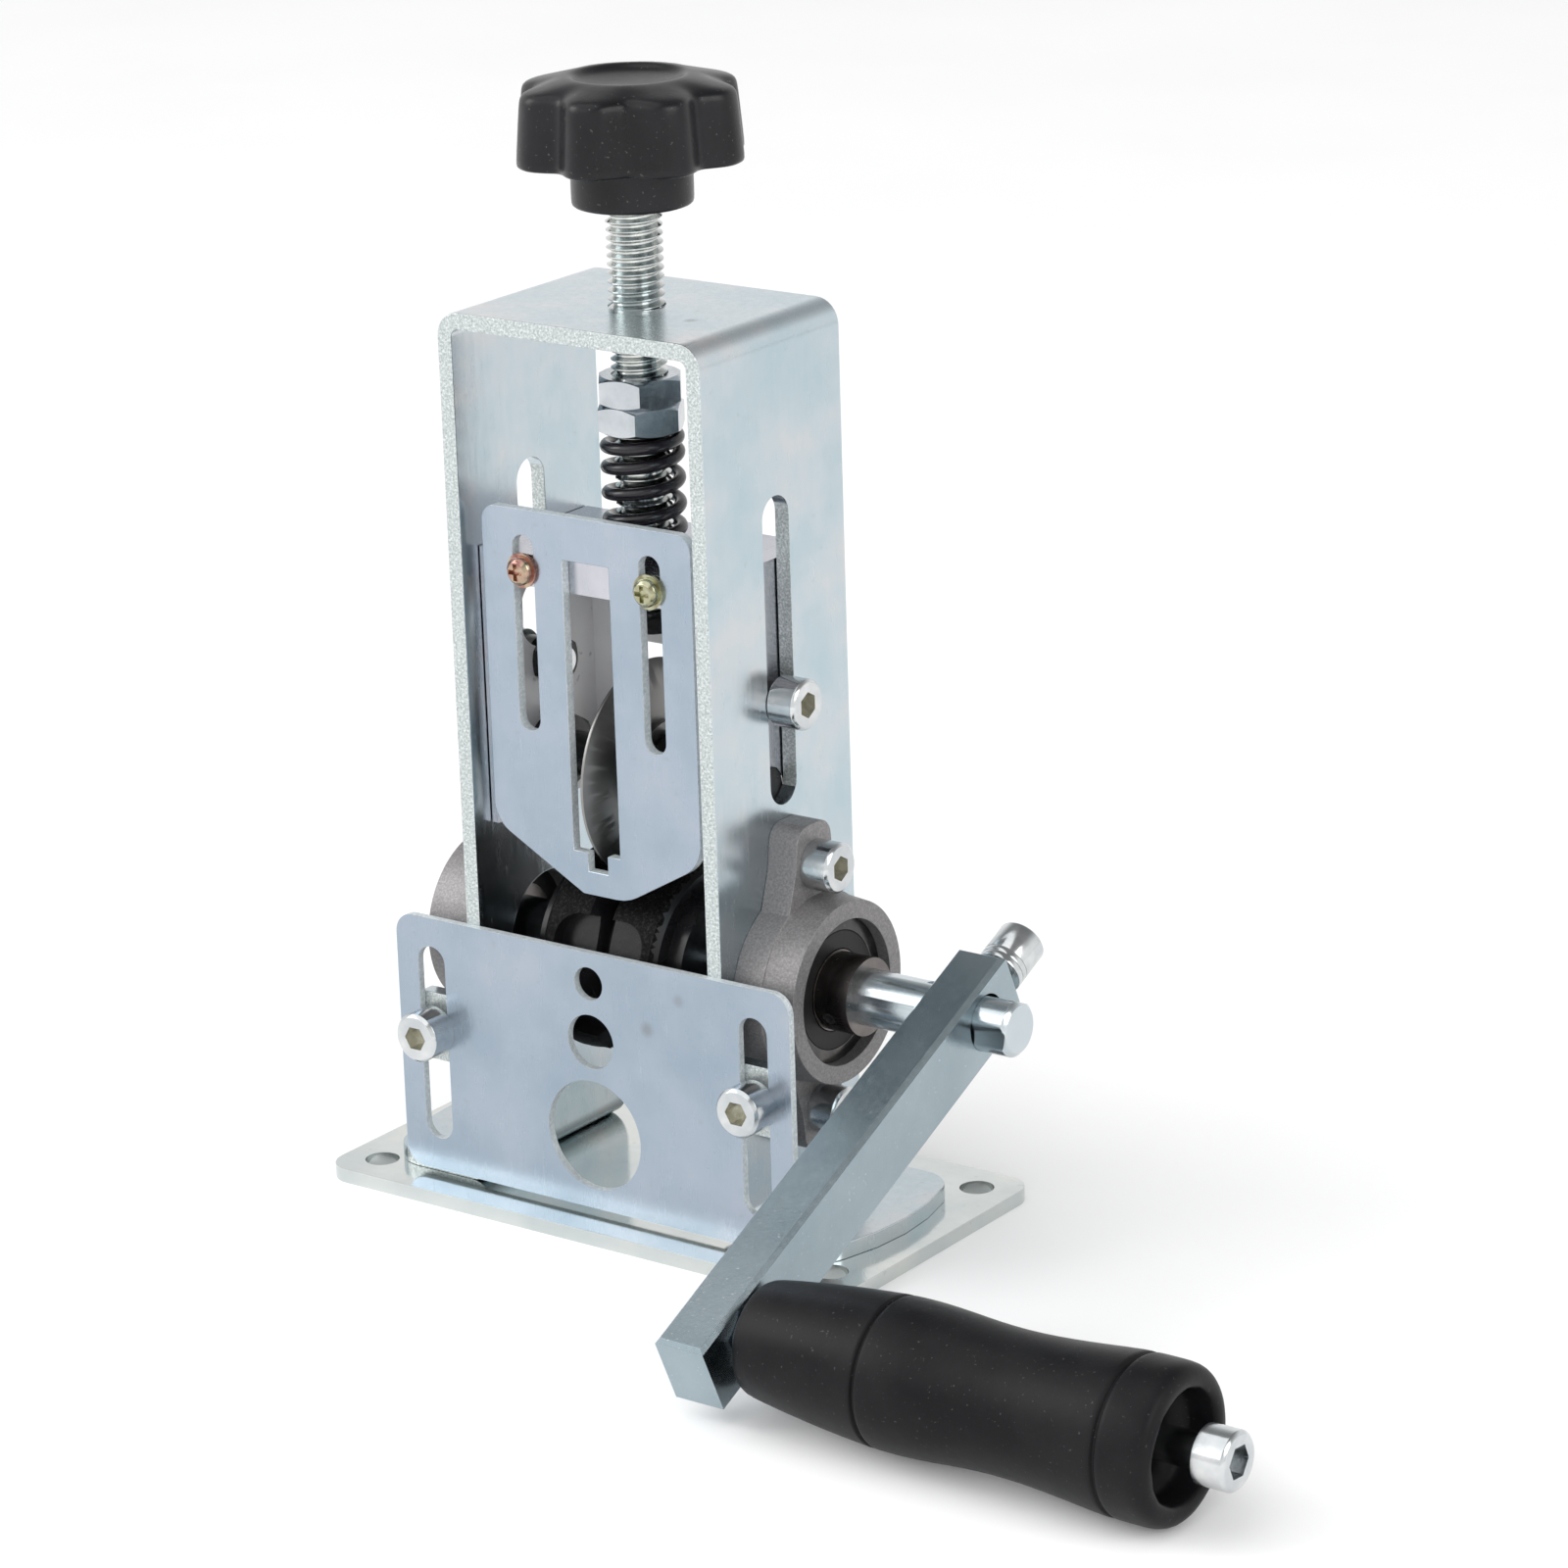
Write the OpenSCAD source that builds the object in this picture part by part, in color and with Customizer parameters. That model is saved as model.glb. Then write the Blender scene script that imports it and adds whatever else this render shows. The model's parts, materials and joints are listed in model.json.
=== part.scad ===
// Hand crank wire stripper, in millimetres. X is right, Y is back, Z is up.
// The origin is the centre of the base bolt pattern, on the underside of the base.

/* [Base] */
// Width of the base plate
base_w = 115; // [112:1:140]
// Depth of the base plate
base_d = 60; // [50:1:80]
// Thickness of the base plate
base_t = 2.7; // [2:0.1:6]
// Corner radius of the base plate
base_corner_r = 5; // [1:0.5:7]
// Diameter of the four bolt holes
base_hole_d = 6.2; // [4:0.1:8]
// Distance of the bolt holes from the base plate's edges
base_hole_inset = 7.5; // [6:0.5:9]

/* [Frame] */
// Outer width of the bent frame
frame_w = 56; // [54:1:64]
// Depth of the bent frame
frame_d = 40; // [38:1:46]
// Height of the frame above the base plate
frame_h = 160.3; // [158:0.5:180]
// Thickness of the frame's sheet
frame_t = 3; // [2.5:0.1:3.5]
// Inside radius of the frame's bends
frame_bend_r = 1.5; // [1:0.5:3]
// Middle of the frame's depth, measured from the bolt pattern's centre
frame_y = -1.7; // [-4:0.1:4]
// Length of a foot beyond its wall
foot_len = 23.4; // [18:0.2:26]
// Radius of a foot's rounded end
foot_end_r = 48; // [40:1:90]
// Radius of a foot's corners
foot_corner_r = 7; // [3:0.5:9]
// Width of the height slots in the walls
wall_slot_w = 7.6; // [7:0.1:9]
// Length of the height slots in the walls
wall_slot_len = 55; // [50:1:60]
// Height of the slots' lower tips above the base plate
wall_slot_rise = 75.1; // [74:0.5:80]
// Height of an ear
ear_h = 12.8; // [10:0.2:14]
// Length of an ear beyond its wall
ear_len = 12.3; // [11:0.1:14]

/* [Feed plate] */
// How far the feed plate reaches beyond each wall
feed_over = 15.2; // [14:0.1:18]
// Height of the feed plate
feed_h = 48.1; // [47:0.1:52]
// Thickness of the feed plate
feed_t = 1.5; // [1:0.1:3]
// Gap between the base plate and the lowered feed plate
feed_gap = 1.1; // [1.05:0.05:2]
// Corner radius of the feed plate
feed_corner_r = 3.8; // [1:0.2:5]
// Diameter of the small feed hole
feed_small_d = 6.1; // [4:0.1:8]
// Diameter of the medium feed hole
feed_medium_d = 10; // [8:0.1:11]
// Diameter of the large feed hole
feed_large_d = 20.3; // [16:0.1:21]
// Height of the small hole above the plate's lower edge
feed_small_rise = 42.3; // [41.5:0.1:43.5]
// Height of the medium hole above the plate's lower edge
feed_medium_rise = 31.5; // [30:0.1:33]
// Height of the large hole above the plate's lower edge
feed_large_rise = 13.95; // [12:0.05:15]
// Width of the feed plate's slots
feed_slot_w = 6; // [5.4:0.1:7]
// Length of the feed plate's slots
feed_slot_len = 36.6; // [34:0.2:38]
// Distance of the slots' middles from the plate's side edges
feed_slot_inset = 7.8; // [7:0.1:8.5]
// Height of the slots' lower tips above the plate's lower edge
feed_slot_rise = 6.1; // [5:0.1:7]
// Height of the feed screws above the base plate
feed_screw_rise = 28.1; // [27:0.1:30]

/* [Guard plate] */
// Gap between the guard plate and each wall
guard_side_gap = 2.5; // [2:0.1:4]
// Thickness of the guard plate
guard_t = 2; // [1.5:0.1:2.5]
// Depth of the guard plate behind the frame's front edges
guard_recess = 2.7; // [2.3:0.1:3]
// Height of the guard plate above the carriage
guard_rise = 8.5; // [4:0.5:12]
// How far the guard plate's tip lies below the roller's top
guard_dip = 3.45; // [3:0.05:4]
// Height of the sloped lower corners, left
guard_slope_left = 10.4; // [8:0.2:12]
// Height of the sloped lower corners, right
guard_slope_right = 9.3; // [8:0.1:11]
// Width of the window
guard_window_w = 10.1; // [9:0.1:12]
// Height of the window
guard_window_h = 52.45; // [48:0.05:52.6]
// Width of the notch under the window
guard_notch_w = 4.3; // [4:0.1:6]
// Depth of the notch under the window
guard_notch_h = 3.35; // [3:0.05:4]
// Width of the guard plate's slots
guard_slot_w = 4.5; // [3.6:0.1:5]
// Length of the guard plate's slots
guard_slot_len = 35.3; // [30:0.1:38]
// Distance between the middles of the guard plate's slots
guard_slot_pitch = 27.3; // [26:0.1:30]

/* [Carriage] */
// Thickness of the carriage's sheet
carriage_t = 1.5; // [1.2:0.1:1.8]
// Gap between the carriage's back and the frame's rear edges
carriage_back_gap = 4.7; // [3:0.1:7]
// Height of the carriage
carriage_h = 50.5; // [49:0.5:53]
// Height of the front flange
flange_h = 5.8; // [5.2:0.1:7]
// Height of the whole part of the rear plate
rear_h = 22.8; // [20:0.2:24]
// Width of the notch in the rear plate
rear_notch_w = 31; // [24:1:36]
// Diameter of the spanner hole in the left leg
spanner_hole_d = 13.6; // [10:0.2:15]
// Height of the carriage's top above the wheel axle
carriage_rise = 40.7; // [40:0.1:43]
// Gap between the carriage and each wall
slide_gap = 0.2; // [0.1:0.05:0.4]

/* [Cutter wheel] */
// Gap between the cutter wheel and the frame's front edges
wheel_front_gap = 0.5; // [0.5:0.1:2]
// Thickness of the wheel's disc
wheel_t = 5; // [3:0.1:6]
// Thickness of the cutting edge
wheel_edge_t = 0.5; // [0.2:0.1:0.8]
// Width of the bevels that make the edge
wheel_bevel_w = 5.5; // [3:0.1:7]
// Diameter of the wheel's hub
wheel_hub_d = 18; // [16:0.5:22]
// Width of the wheel's hub
wheel_hub_w = 8; // [7:0.1:10]
// Place of the wheel across the frame
wheel_x = -1.2; // [-1.6:0.1:0.4]
// Diameter of the wheel axle
axle_d = 8; // [6:0.5:9]
// How far the blade reaches into the roller's groove
blade_dip = 4.15; // [3:0.05:5]

/* [Drive] */
// Height of the drive shaft above the base plate
shaft_rise = 42.75; // [41:0.05:46]
// Diameter of the drive shaft
shaft_d = 10; // [9:0.5:11]
// Length of the shaft beyond the crank arm
shaft_free_len = 6.7; // [4:0.1:12]
// Depth of the flats on the shaft's free end
shaft_flat_depth = 0.5; // [0.4:0.1:1]
// Angle of the first flat
shaft_flat_angle = 67; // [0:1:119]
// Gap between the drive roller and the frame's front edges
roller_front_gap = 1; // [1:0.1:2]
// Width of the drive roller
roller_w = 25; // [24:0.5:30]
// Middle of the roller across the frame
roller_x = -0.5; // [-2:0.1:2]
// Number of flutes on the roller
flute_count = 8; // [6:1:10]
// Width of a flute
flute_w = 9.5; // [6:0.1:10]
// Length of a flute
flute_len = 19; // [16:0.5:22]
// Depth of a flute
flute_depth = 2.8; // [1.5:0.1:3.5]
// Diameter of the roller's hubs
roller_hub_d = 30; // [22:0.5:32]
// Length of each hub
roller_hub_len = 3.1; // [2:0.1:5]

/* [Bearings] */
// Distance between a bearing's two screws
bearing_pitch = 45; // [42:0.5:48]
// Width of a bearing's lugs at their screws
lug_w = 11; // [10:0.1:13]
// Length of the lugs beyond their screws
lug_reach = 7.3; // [6:0.1:8]
// Radius of the round part of the flange
bearing_flange_r = 17.1; // [17:0.1:18]
// Thickness of the flange
bearing_flange_t = 6; // [5:0.1:7]
// Radius of the boss
boss_r = 16.3; // [15.5:0.1:17]
// Length of the boss from the wall
boss_len = 12.2; // [11:0.1:14]
// Diameter of the bearing insert
insert_d = 26; // [25:0.1:27]
// Diameter of the locking collar
collar_d = 13.9; // [13.5:0.1:15]
// Length of the collar beyond the boss
collar_len = 4.6; // [4:0.1:6]
// Diameter of a ball
ball_d = 3.96; // [3.5:0.01:4.1]
// Number of balls in each bearing
ball_count = 8; // [6:1:9]

/* [Crank] */
// Gap between the collar and the crank arm
crank_gap = 14.9; // [5:0.1:18]
// Thickness of the crank arm
arm_t = 9.6; // [9:0.1:12]
// Width of the crank arm
arm_w = 14; // [13:0.2:18]
// Length of the arm behind the shaft
arm_back = 9.5; // [9:0.1:12]
// Distance from the shaft to the handle
crank_throw = 77; // [60:0.5:78]
// Length of the arm beyond the handle
arm_tip = 11.5; // [8:0.1:12]
// Angle of the resting crank below the horizontal
crank_drop = 24.2; // [0:0.1:24.4]
// Chamfer of the arm's edges
arm_chamfer = 0.8; // [0.3:0.1:1.5]
// Length of the grip
grip_len = 80.6; // [60:0.2:120]
// Diameter of the grip at its small end
grip_small_d = 19.7; // [16:0.1:24]
// Diameter of the grip at its large end
grip_large_d = 26.7; // [22:0.1:26.8]
// Diameter of the handle bolt
bolt_d = 6; // [5:0.5:8]
// Length of bolt showing between the grip and the bolt's head
bolt_play = 3.5; // [0.5:0.1:6]

/* [Adjusting screw and knob] */
// Diameter of the adjusting screw over its thread
screw_d = 9.8; // [8:0.1:10]
// Width of the jam nuts over their flats
jam_nut_af = 14; // [13:0.1:17]
// Thickness of a jam nut
jam_nut_t = 5; // [4:0.1:6]
// Height of the knob's hub above the frame
knob_rise = 17.5; // [12:0.1:24]
// Diameter of the knob over its lobes
knob_d = 40.8; // [34:0.2:46]
// Height of the knob's lobes
knob_lobe_h = 12.4; // [10:0.1:16]
// Diameter of the knob's hub
knob_hub_d = 21; // [19:0.2:24]
// Height of the knob's hub
knob_hub_h = 7.7; // [6:0.1:12]
// Number of lobes
knob_lobes = 8; // [6:1:10]
// Depth of the valleys between the lobes
knob_valley = 2.9; // [1:0.1:4]
// Diameter of the dish in the knob's top
knob_dish_d = 19.2; // [14:0.2:20]
// Diameter of the spring's wire
wire_d = 2.2; // [1.6:0.1:2.3]
// Outer diameter of the spring
spring_d = 14.8; // [14.4:0.1:15.4]
// Length of the spring as it stands
spring_len = 20.5; // [20:0.1:22]
// Turns of the spring, its two closed ones among them
spring_turns = 4.84; // [4.5:0.02:4.9]

/* [Screws and nuts] */
// Diameter of the cap screws' shanks
cap_d = 5; // [4:0.5:5]
// Diameter of the cap screws' heads
cap_head_d = 9; // [8:0.1:9.2]
// Height of the cap screws' heads
cap_head_h = 5.6; // [4:0.1:6]
// Width of the cap screws' sockets over their flats
cap_socket_af = 4; // [3:0.1:5]
// Diameter of the guard screws' shanks
pan_d = 3; // [2.5:0.1:3.2]
// Diameter of the guard screws' heads
pan_head_d = 6.2; // [5.8:0.1:7]
// Diameter of the base screws
foot_screw_d = 4; // [3:0.5:5]

/* [Hidden] */
$fn = 64;
cut = 1;
thread_gap = 0.05;
running_gap = 0.05;
press_gap = 0.02;
bolt_gap = 0.25;
arc_step = 12;
share_half = 1 / 2;

// Levels and places that several pieces share
shaft_z = base_t + shaft_rise;
shaft_r = shaft_d / 2;
wall_out = frame_w / 2;
wall_in = wall_out - frame_t;
frame_top = base_t + frame_h;
frame_front = frame_y - frame_d / 2;
roller_r = frame_d / 2 - roller_front_gap;
wheel_r = frame_d / 2 - wheel_front_gap;
axle_r = axle_d / 2;
axle_z = shaft_z + roller_r + wheel_r - blade_dip;
carriage_top = axle_z + carriage_rise;
carriage_front = frame_front + guard_recess + guard_t;
carriage_back = frame_front + frame_d - carriage_back_gap;
leg_out = wall_in - slide_gap;
leg_in = leg_out - carriage_t;
guide_rise = 16.7;
guide_z = axle_z + guide_rise;
collar_end = wall_out + boss_len + collar_len;
arm_in = collar_end + crank_gap;
arm_out = arm_in + arm_t;
cap_r = cap_d / 2;
cap_head_r = cap_head_d / 2;
screw_r = screw_d / 2;

// Colours
zinc = [0.74, 0.79, 0.80];
plate_zinc = [0.67, 0.73, 0.78];
bright = [0.80, 0.80, 0.82];
black = [0.07, 0.07, 0.08];
cast = [0.52, 0.50, 0.49];

// Outlines with rounded corners: each point is [x, y, corner radius]
function unit(v) = v / norm(v);
function flat(p) = [p[0], p[1]];
function angle_of(v) = atan2(v[1], v[0]);
function turn(a, b) = let(d = b - a) d > 180 ? d - 360 : d < -180 ? d + 360 : d;
function arc(c, r, a0, a1) =
    let(n = max(2, ceil(abs(a1 - a0) / arc_step)))
    [for (i = [0:n]) c + r * [cos(a0 + (a1 - a0) * i / n), sin(a0 + (a1 - a0) * i / n)]];
function round_corner(p, a, b, r) =
    r == 0 ? [p] :
    let(u = unit(a - p),
        v = unit(b - p),
        half = acos(u * v) / 2,
        c = p + unit(u + v) * r / sin(half),
        start = angle_of(p + u * r / tan(half) - c),
        sweep = turn(start, angle_of(p + v * r / tan(half) - c)))
    arc(c, r, start, start + sweep);
function rounded(pts) =
    let(n = len(pts))
    [for (i = [0:n - 1])
        each round_corner(flat(pts[i]), flat(pts[(i + n - 1) % n]), flat(pts[(i + 1) % n]), pts[i][2])];
function mirrored(pts) = concat(pts, [for (i = [len(pts) - 1:-1:0]) [-pts[i][0], pts[i][1], pts[i][2]]]);

// Shapes used by several pieces
module both_sides() {
    children();
    mirror([1, 0, 0]) children();
}

module rod_x(r, x0, x1) {
    translate([x0, 0, 0]) rotate([0, 90, 0]) cylinder(r = r, h = x1 - x0);
}

module cone_x(r0, r1, x0, x1) {
    translate([x0, 0, 0]) rotate([0, 90, 0]) cylinder(r1 = r0, r2 = r1, h = x1 - x0);
}

module rod_y(r, y0, y1) {
    translate([0, y0, 0]) rotate([-90, 0, 0]) cylinder(r = r, h = y1 - y0);
}

// An XZ outline from y0 to y1
module slab_xz(y0, y1) {
    translate([0, y1, 0]) rotate([90, 0, 0]) linear_extrude(y1 - y0) children();
}

// A YZ outline from x0 to x1
module slab_yz(x0, x1) {
    translate([x0, 0, 0]) rotate([90, 0, 90]) linear_extrude(x1 - x0) children();
}

// An upright slot from its lower tip
module upright_slot(w, len) {
    translate([0, w / 2]) circle(d = w);
    translate([0, len - w / 2]) circle(d = w);
    translate([-w / 2, w / 2]) square([w, len - w]);
}

module box(low, high) {
    translate(low) cube(high - low);
}

// A socket cap screw with its head above z = 0 and its shank below
module cap_screw(shank_r, shank_len, head_r, head_h, socket_af) {
    edge = head_r * cap_edge_share;
    difference() {
        union() {
            cylinder(r = head_r, h = head_h - edge);
            translate([0, 0, head_h - edge]) cylinder(r1 = head_r, r2 = head_r - edge, h = edge);
            translate([0, 0, -shank_len]) cylinder(r = shank_r, h = shank_len + edge);
        }
        translate([0, 0, head_h * socket_floor_share])
            cylinder(r = socket_af / sqrt(3), h = head_h, $fn = 6);
    }
}
cap_edge_share = 0.12;
socket_floor_share = 0.45;

// A hexagon nut on z = 0 with chamfered corners
module hex_nut(af, t, hole_r) {
    face_r = af / 2 * nut_face_share;
    difference() {
        intersection() {
            cylinder(r = af / sqrt(3), h = t, $fn = 6);
            cylinder(r1 = face_r, r2 = face_r + t * nut_slope_share, h = t);
            cylinder(r1 = face_r + t * nut_slope_share, r2 = face_r, h = t);
        }
        translate([0, 0, -cut]) cylinder(r = hole_r, h = t + 2 * cut);
    }
}
nut_face_share = 0.98;
nut_slope_share = 1.7;

module washer(out_r, hole_r, t) {
    difference() {
        cylinder(r = out_r, h = t);
        translate([0, 0, -cut]) cylinder(r = hole_r, h = t + 2 * cut);
    }
}

// Base
foot_screw_r = foot_screw_d / 2;
foot_screw_head_r = foot_screw_d;
foot_screw_skin = 0.8;
foot_screw_x_share = 0.42;
foot_screw_y_share = 0.27;
foot_screw_x = wall_out + foot_len * foot_screw_x_share;
foot_screw_y = frame_d * foot_screw_y_share;

module at_foot_screws() {
    for (sx = [-1, 1], sy = [-1, 1]) {
        translate([sx * foot_screw_x, frame_y + sy * foot_screw_y, 0]) children();
    }
}

module base_plate() {
    corner_x = base_w / 2;
    corner_y = base_d / 2;
    color(zinc) difference() {
        linear_extrude(base_t) polygon(rounded([
            [-corner_x, -corner_y, base_corner_r],
            [corner_x, -corner_y, base_corner_r],
            [corner_x, corner_y, base_corner_r],
            [-corner_x, corner_y, base_corner_r]]));
        for (sx = [-1, 1], sy = [-1, 1]) {
            translate([sx * (corner_x - base_hole_inset), sy * (corner_y - base_hole_inset), -cut])
                cylinder(d = base_hole_d, h = base_t + 2 * cut);
        }
        at_foot_screws() {
            translate([0, 0, -cut]) cylinder(r = foot_screw_r + bolt_gap, h = base_t + 2 * cut);
            translate([0, 0, -cut]) cylinder(r = foot_screw_head_r, h = cut);
            cylinder(r1 = foot_screw_head_r, r2 = foot_screw_r, h = foot_screw_head_r - foot_screw_r);
        }
    }
}

module base_screws() {
    color(bright) at_foot_screws() difference() {
        union() {
            cylinder(r = foot_screw_r, h = base_t + frame_t - foot_screw_skin);
            cylinder(r1 = foot_screw_head_r - running_gap, r2 = foot_screw_r,
                     h = foot_screw_head_r - foot_screw_r);
        }
        translate([0, 0, -cut]) cylinder(r = foot_screw_r * socket_share, h = cut + foot_screw_r, $fn = 6);
    }
}
socket_share = 0.7;

// Frame
ear_z = base_t + feed_screw_rise;
feed_screw_x = wall_out + feed_over - feed_slot_inset;
wall_hole_d = 22;
ear_corner_r = 1.5;
bearing_hole_z = [shaft_z - bearing_pitch / 2, shaft_z + bearing_pitch / 2];

module frame_profile() {
    bend_out = frame_bend_r + frame_t;
    stub = wall_out + bend_out;
    polygon(rounded([
        [-stub, base_t, 0],
        [-wall_in, base_t, bend_out],
        [-wall_in, frame_top - frame_t, frame_bend_r],
        [wall_in, frame_top - frame_t, frame_bend_r],
        [wall_in, base_t, bend_out],
        [stub, base_t, 0],
        [stub, base_t + frame_t, 0],
        [wall_out, base_t + frame_t, frame_bend_r],
        [wall_out, frame_top, bend_out],
        [-wall_out, frame_top, bend_out],
        [-wall_out, base_t + frame_t, frame_bend_r],
        [-stub, base_t + frame_t, 0]]));
}

// The foot's outline beyond the wall: straight sides, two corner arcs and a shallow end arc
module foot_outline() {
    half_d = frame_d / 2;
    end_x = wall_out + foot_len;
    end_c = end_x - foot_end_r;
    inner_r = foot_end_r - foot_corner_r;
    corner_y = half_d - foot_corner_r;
    corner_x = end_c + sqrt(inner_r * inner_r - corner_y * corner_y);
    meet = asin(corner_y / inner_r);
    root_x = wall_out + frame_bend_r;
    polygon(concat(
        [[root_x, -half_d]],
        arc([corner_x, -corner_y], foot_corner_r, -90, -meet),
        arc([end_c, 0], foot_end_r, -meet, meet),
        arc([corner_x, corner_y], foot_corner_r, meet, 90),
        [[root_x, half_d]]));
}

module frame() {
    color(zinc) difference() {
        union() {
            slab_xz(frame_front, frame_front + frame_d) frame_profile();
            both_sides() translate([0, frame_y, base_t]) linear_extrude(frame_t) foot_outline();
            both_sides() slab_xz(frame_front, frame_front + frame_t) polygon(rounded([
                [wall_in, ear_z - ear_h / 2, 0],
                [wall_out + ear_len, ear_z - ear_h / 2, ear_corner_r],
                [wall_out + ear_len, ear_z + ear_h / 2, ear_corner_r],
                [wall_in, ear_z + ear_h / 2, 0]]));
        }
        both_sides() {
            translate([0, frame_y, base_t + wall_slot_rise])
                slab_yz(wall_in - cut, wall_out + cut) upright_slot(wall_slot_w, wall_slot_len);
            translate([0, frame_y, shaft_z]) rod_x(wall_hole_d / 2, wall_in - cut, wall_out + cut);
            for (z = bearing_hole_z) {
                translate([0, frame_y, z]) rod_x(cap_r + thread_gap, wall_in - cut, wall_out + cut);
            }
            translate([feed_screw_x, 0, ear_z])
                rod_y(cap_r + thread_gap, frame_front - cut, frame_front + frame_t + cut);
        }
        translate([0, frame_y, frame_top - frame_t - cut])
            cylinder(r = screw_r + running_gap, h = frame_t + 2 * cut);
        at_foot_screws() cylinder(r = foot_screw_r + thread_gap, h = base_t + frame_t - foot_screw_skin);
    }
}

// Feed plate and its screws
feed_low = base_t + feed_gap;
feed_front = frame_front - feed_t;

module feed_plate() {
    half_w = wall_out + feed_over;
    color(plate_zinc) difference() {
        slab_xz(feed_front, frame_front) polygon(rounded([
            [-half_w, feed_low, feed_corner_r],
            [half_w, feed_low, feed_corner_r],
            [half_w, feed_low + feed_h, feed_corner_r],
            [-half_w, feed_low + feed_h, feed_corner_r]]));
        for (hole = [[feed_small_d, feed_small_rise],
                     [feed_medium_d, feed_medium_rise],
                     [feed_large_d, feed_large_rise]]) {
            translate([0, 0, feed_low + hole[1]])
                rod_y(hole[0] / 2, feed_front - cut, frame_front + cut);
        }
        both_sides() translate([feed_screw_x, 0, feed_low + feed_slot_rise])
            slab_xz(feed_front - cut, frame_front + cut) upright_slot(feed_slot_w, feed_slot_len);
    }
}

feed_screw_len = feed_t + frame_t + ear_corner_r;
module feed_screws() {
    color(bright) both_sides() translate([feed_screw_x, feed_front, ear_z])
        rotate([90, 0, 0]) cap_screw(cap_r, feed_screw_len, cap_head_r, cap_head_h, cap_socket_af);
}

// Guard plate and its two screws
guard_top = carriage_top + guard_rise;
guard_low = shaft_z + roller_r - guard_dip;
guard_front = frame_front + guard_recess;
guard_corner_r = 3;
guard_side_r = 7;
guard_toe_left = -3.4;
guard_toe_right = 6.2;
guard_heel_r = 6;
guard_toe_left_r = 1;
guard_toe_r = 9;
guard_window_x = -0.15;
guard_notch_gap = 4.3;
guard_window_low = guard_low + guard_notch_gap + guard_notch_h;
guard_slot_drop = 4.6;
guard_slot_low = guard_top - guard_slot_drop - guard_slot_len;
guard_screw_drop = 2.3;
guard_screw_x = guard_slot_pitch / 2;

module guard_plate() {
    half_w = wall_in - guard_side_gap;
    color(plate_zinc) difference() {
        slab_xz(guard_front, guard_front + guard_t) polygon(rounded([
            [-half_w, guard_low + guard_slope_left, guard_heel_r],
            [guard_toe_left, guard_low, guard_toe_left_r],
            [guard_toe_right, guard_low, guard_toe_r],
            [half_w, guard_low + guard_slope_right, guard_side_r],
            [half_w, guard_top, guard_corner_r],
            [-half_w, guard_top, guard_corner_r]]));
        box([guard_window_x - guard_window_w / 2, guard_front - cut, guard_window_low],
            [guard_window_x + guard_window_w / 2, guard_front + guard_t + cut,
             guard_window_low + guard_window_h]);
        box([-guard_notch_w / 2, guard_front - cut, guard_window_low - guard_notch_h],
            [guard_notch_w / 2, guard_front + guard_t + cut, guard_window_low + cut]);
        both_sides() translate([guard_screw_x, 0, guard_slot_low])
            slab_xz(guard_front - cut, guard_front + guard_t + cut)
            upright_slot(guard_slot_w, guard_slot_len);
    }
}

// A pan head screw with its head above z = 0: a flange, a drum with a cone on it, and a cross recess
module pan_screw() {
    head_r = pan_head_d / 2;
    head_h = pan_head_d * pan_height_share;
    button_r = head_r * pan_button_share;
    crown = head_h * pan_crown_share;
    arm = button_r * cross_len_share;
    half_bar = button_r * cross_bar_share;
    shank_len = guard_t + carriage_t;
    difference() {
        union() {
            cylinder(r = head_r, h = pan_flange_t);
            cylinder(r = button_r, h = head_h - crown);
            translate([0, 0, head_h - crown]) cylinder(r1 = button_r, r2 = button_r - crown, h = crown);
            translate([0, 0, -shank_len]) cylinder(d = pan_d, h = shank_len + crown);
        }
        box([-arm, -half_bar, head_h - crown], [arm, half_bar, head_h + cut]);
        box([-half_bar, -arm, head_h - crown], [half_bar, arm, head_h + cut]);
    }
}
pan_height_share = 0.37;
pan_crown_share = 0.38;
pan_button_share = 0.8;
pan_flange_t = 0.6;
cross_len_share = 0.6;
cross_bar_share = 0.17;

module guard_screw(side) {
    translate([side * guard_screw_x, guard_front, carriage_top - guard_screw_drop])
        rotate([90, 0, 0]) pan_screw();
}

module guard_screw_left() {
    color([0.76, 0.48, 0.38]) guard_screw(-1);
}

module guard_screw_right() {
    color([0.80, 0.72, 0.45]) guard_screw(1);
}

// Carriage: web, two legs, front flange and notched rear plate
carriage_low = carriage_top - carriage_h;
spanner_drop = 15;
web_gap = 0.3;
web_hole_r = screw_r + web_gap;

module carriage() {
    notch = rear_notch_w / 2;
    color([0.84, 0.83, 0.85]) difference() {
        box([-leg_out, carriage_front, carriage_low], [leg_out, carriage_back, carriage_top]);
        box([-leg_in, carriage_front + carriage_t, carriage_low - cut],
            [leg_in, carriage_back - carriage_t, carriage_top - carriage_t]);
        box([-leg_in, carriage_front - cut, carriage_low - cut],
            [leg_in, carriage_front + carriage_t + cut, carriage_top - flange_h]);
        box([-notch, carriage_back - carriage_t - cut, carriage_low - cut],
            [notch, carriage_back + cut, carriage_top - rear_h]);
        translate([0, frame_y, carriage_top - carriage_t - cut])
            cylinder(r = web_hole_r, h = carriage_t + 2 * cut);
        translate([0, frame_y, axle_z]) rod_x(axle_r + running_gap, -leg_out - cut, leg_out + cut);
        translate([0, frame_y, guide_z]) rod_x(cap_r + running_gap, -leg_out - cut, leg_out + cut);
        translate([0, frame_y, carriage_top - spanner_drop])
            rod_x(spanner_hole_d / 2, -leg_out - cut, -leg_in + cut);
        both_sides() translate([guard_screw_x, 0, carriage_top - guard_screw_drop])
            rod_y(pan_d / 2 + thread_gap, carriage_front - cut, carriage_front + carriage_t + cut);
    }
}

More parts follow.
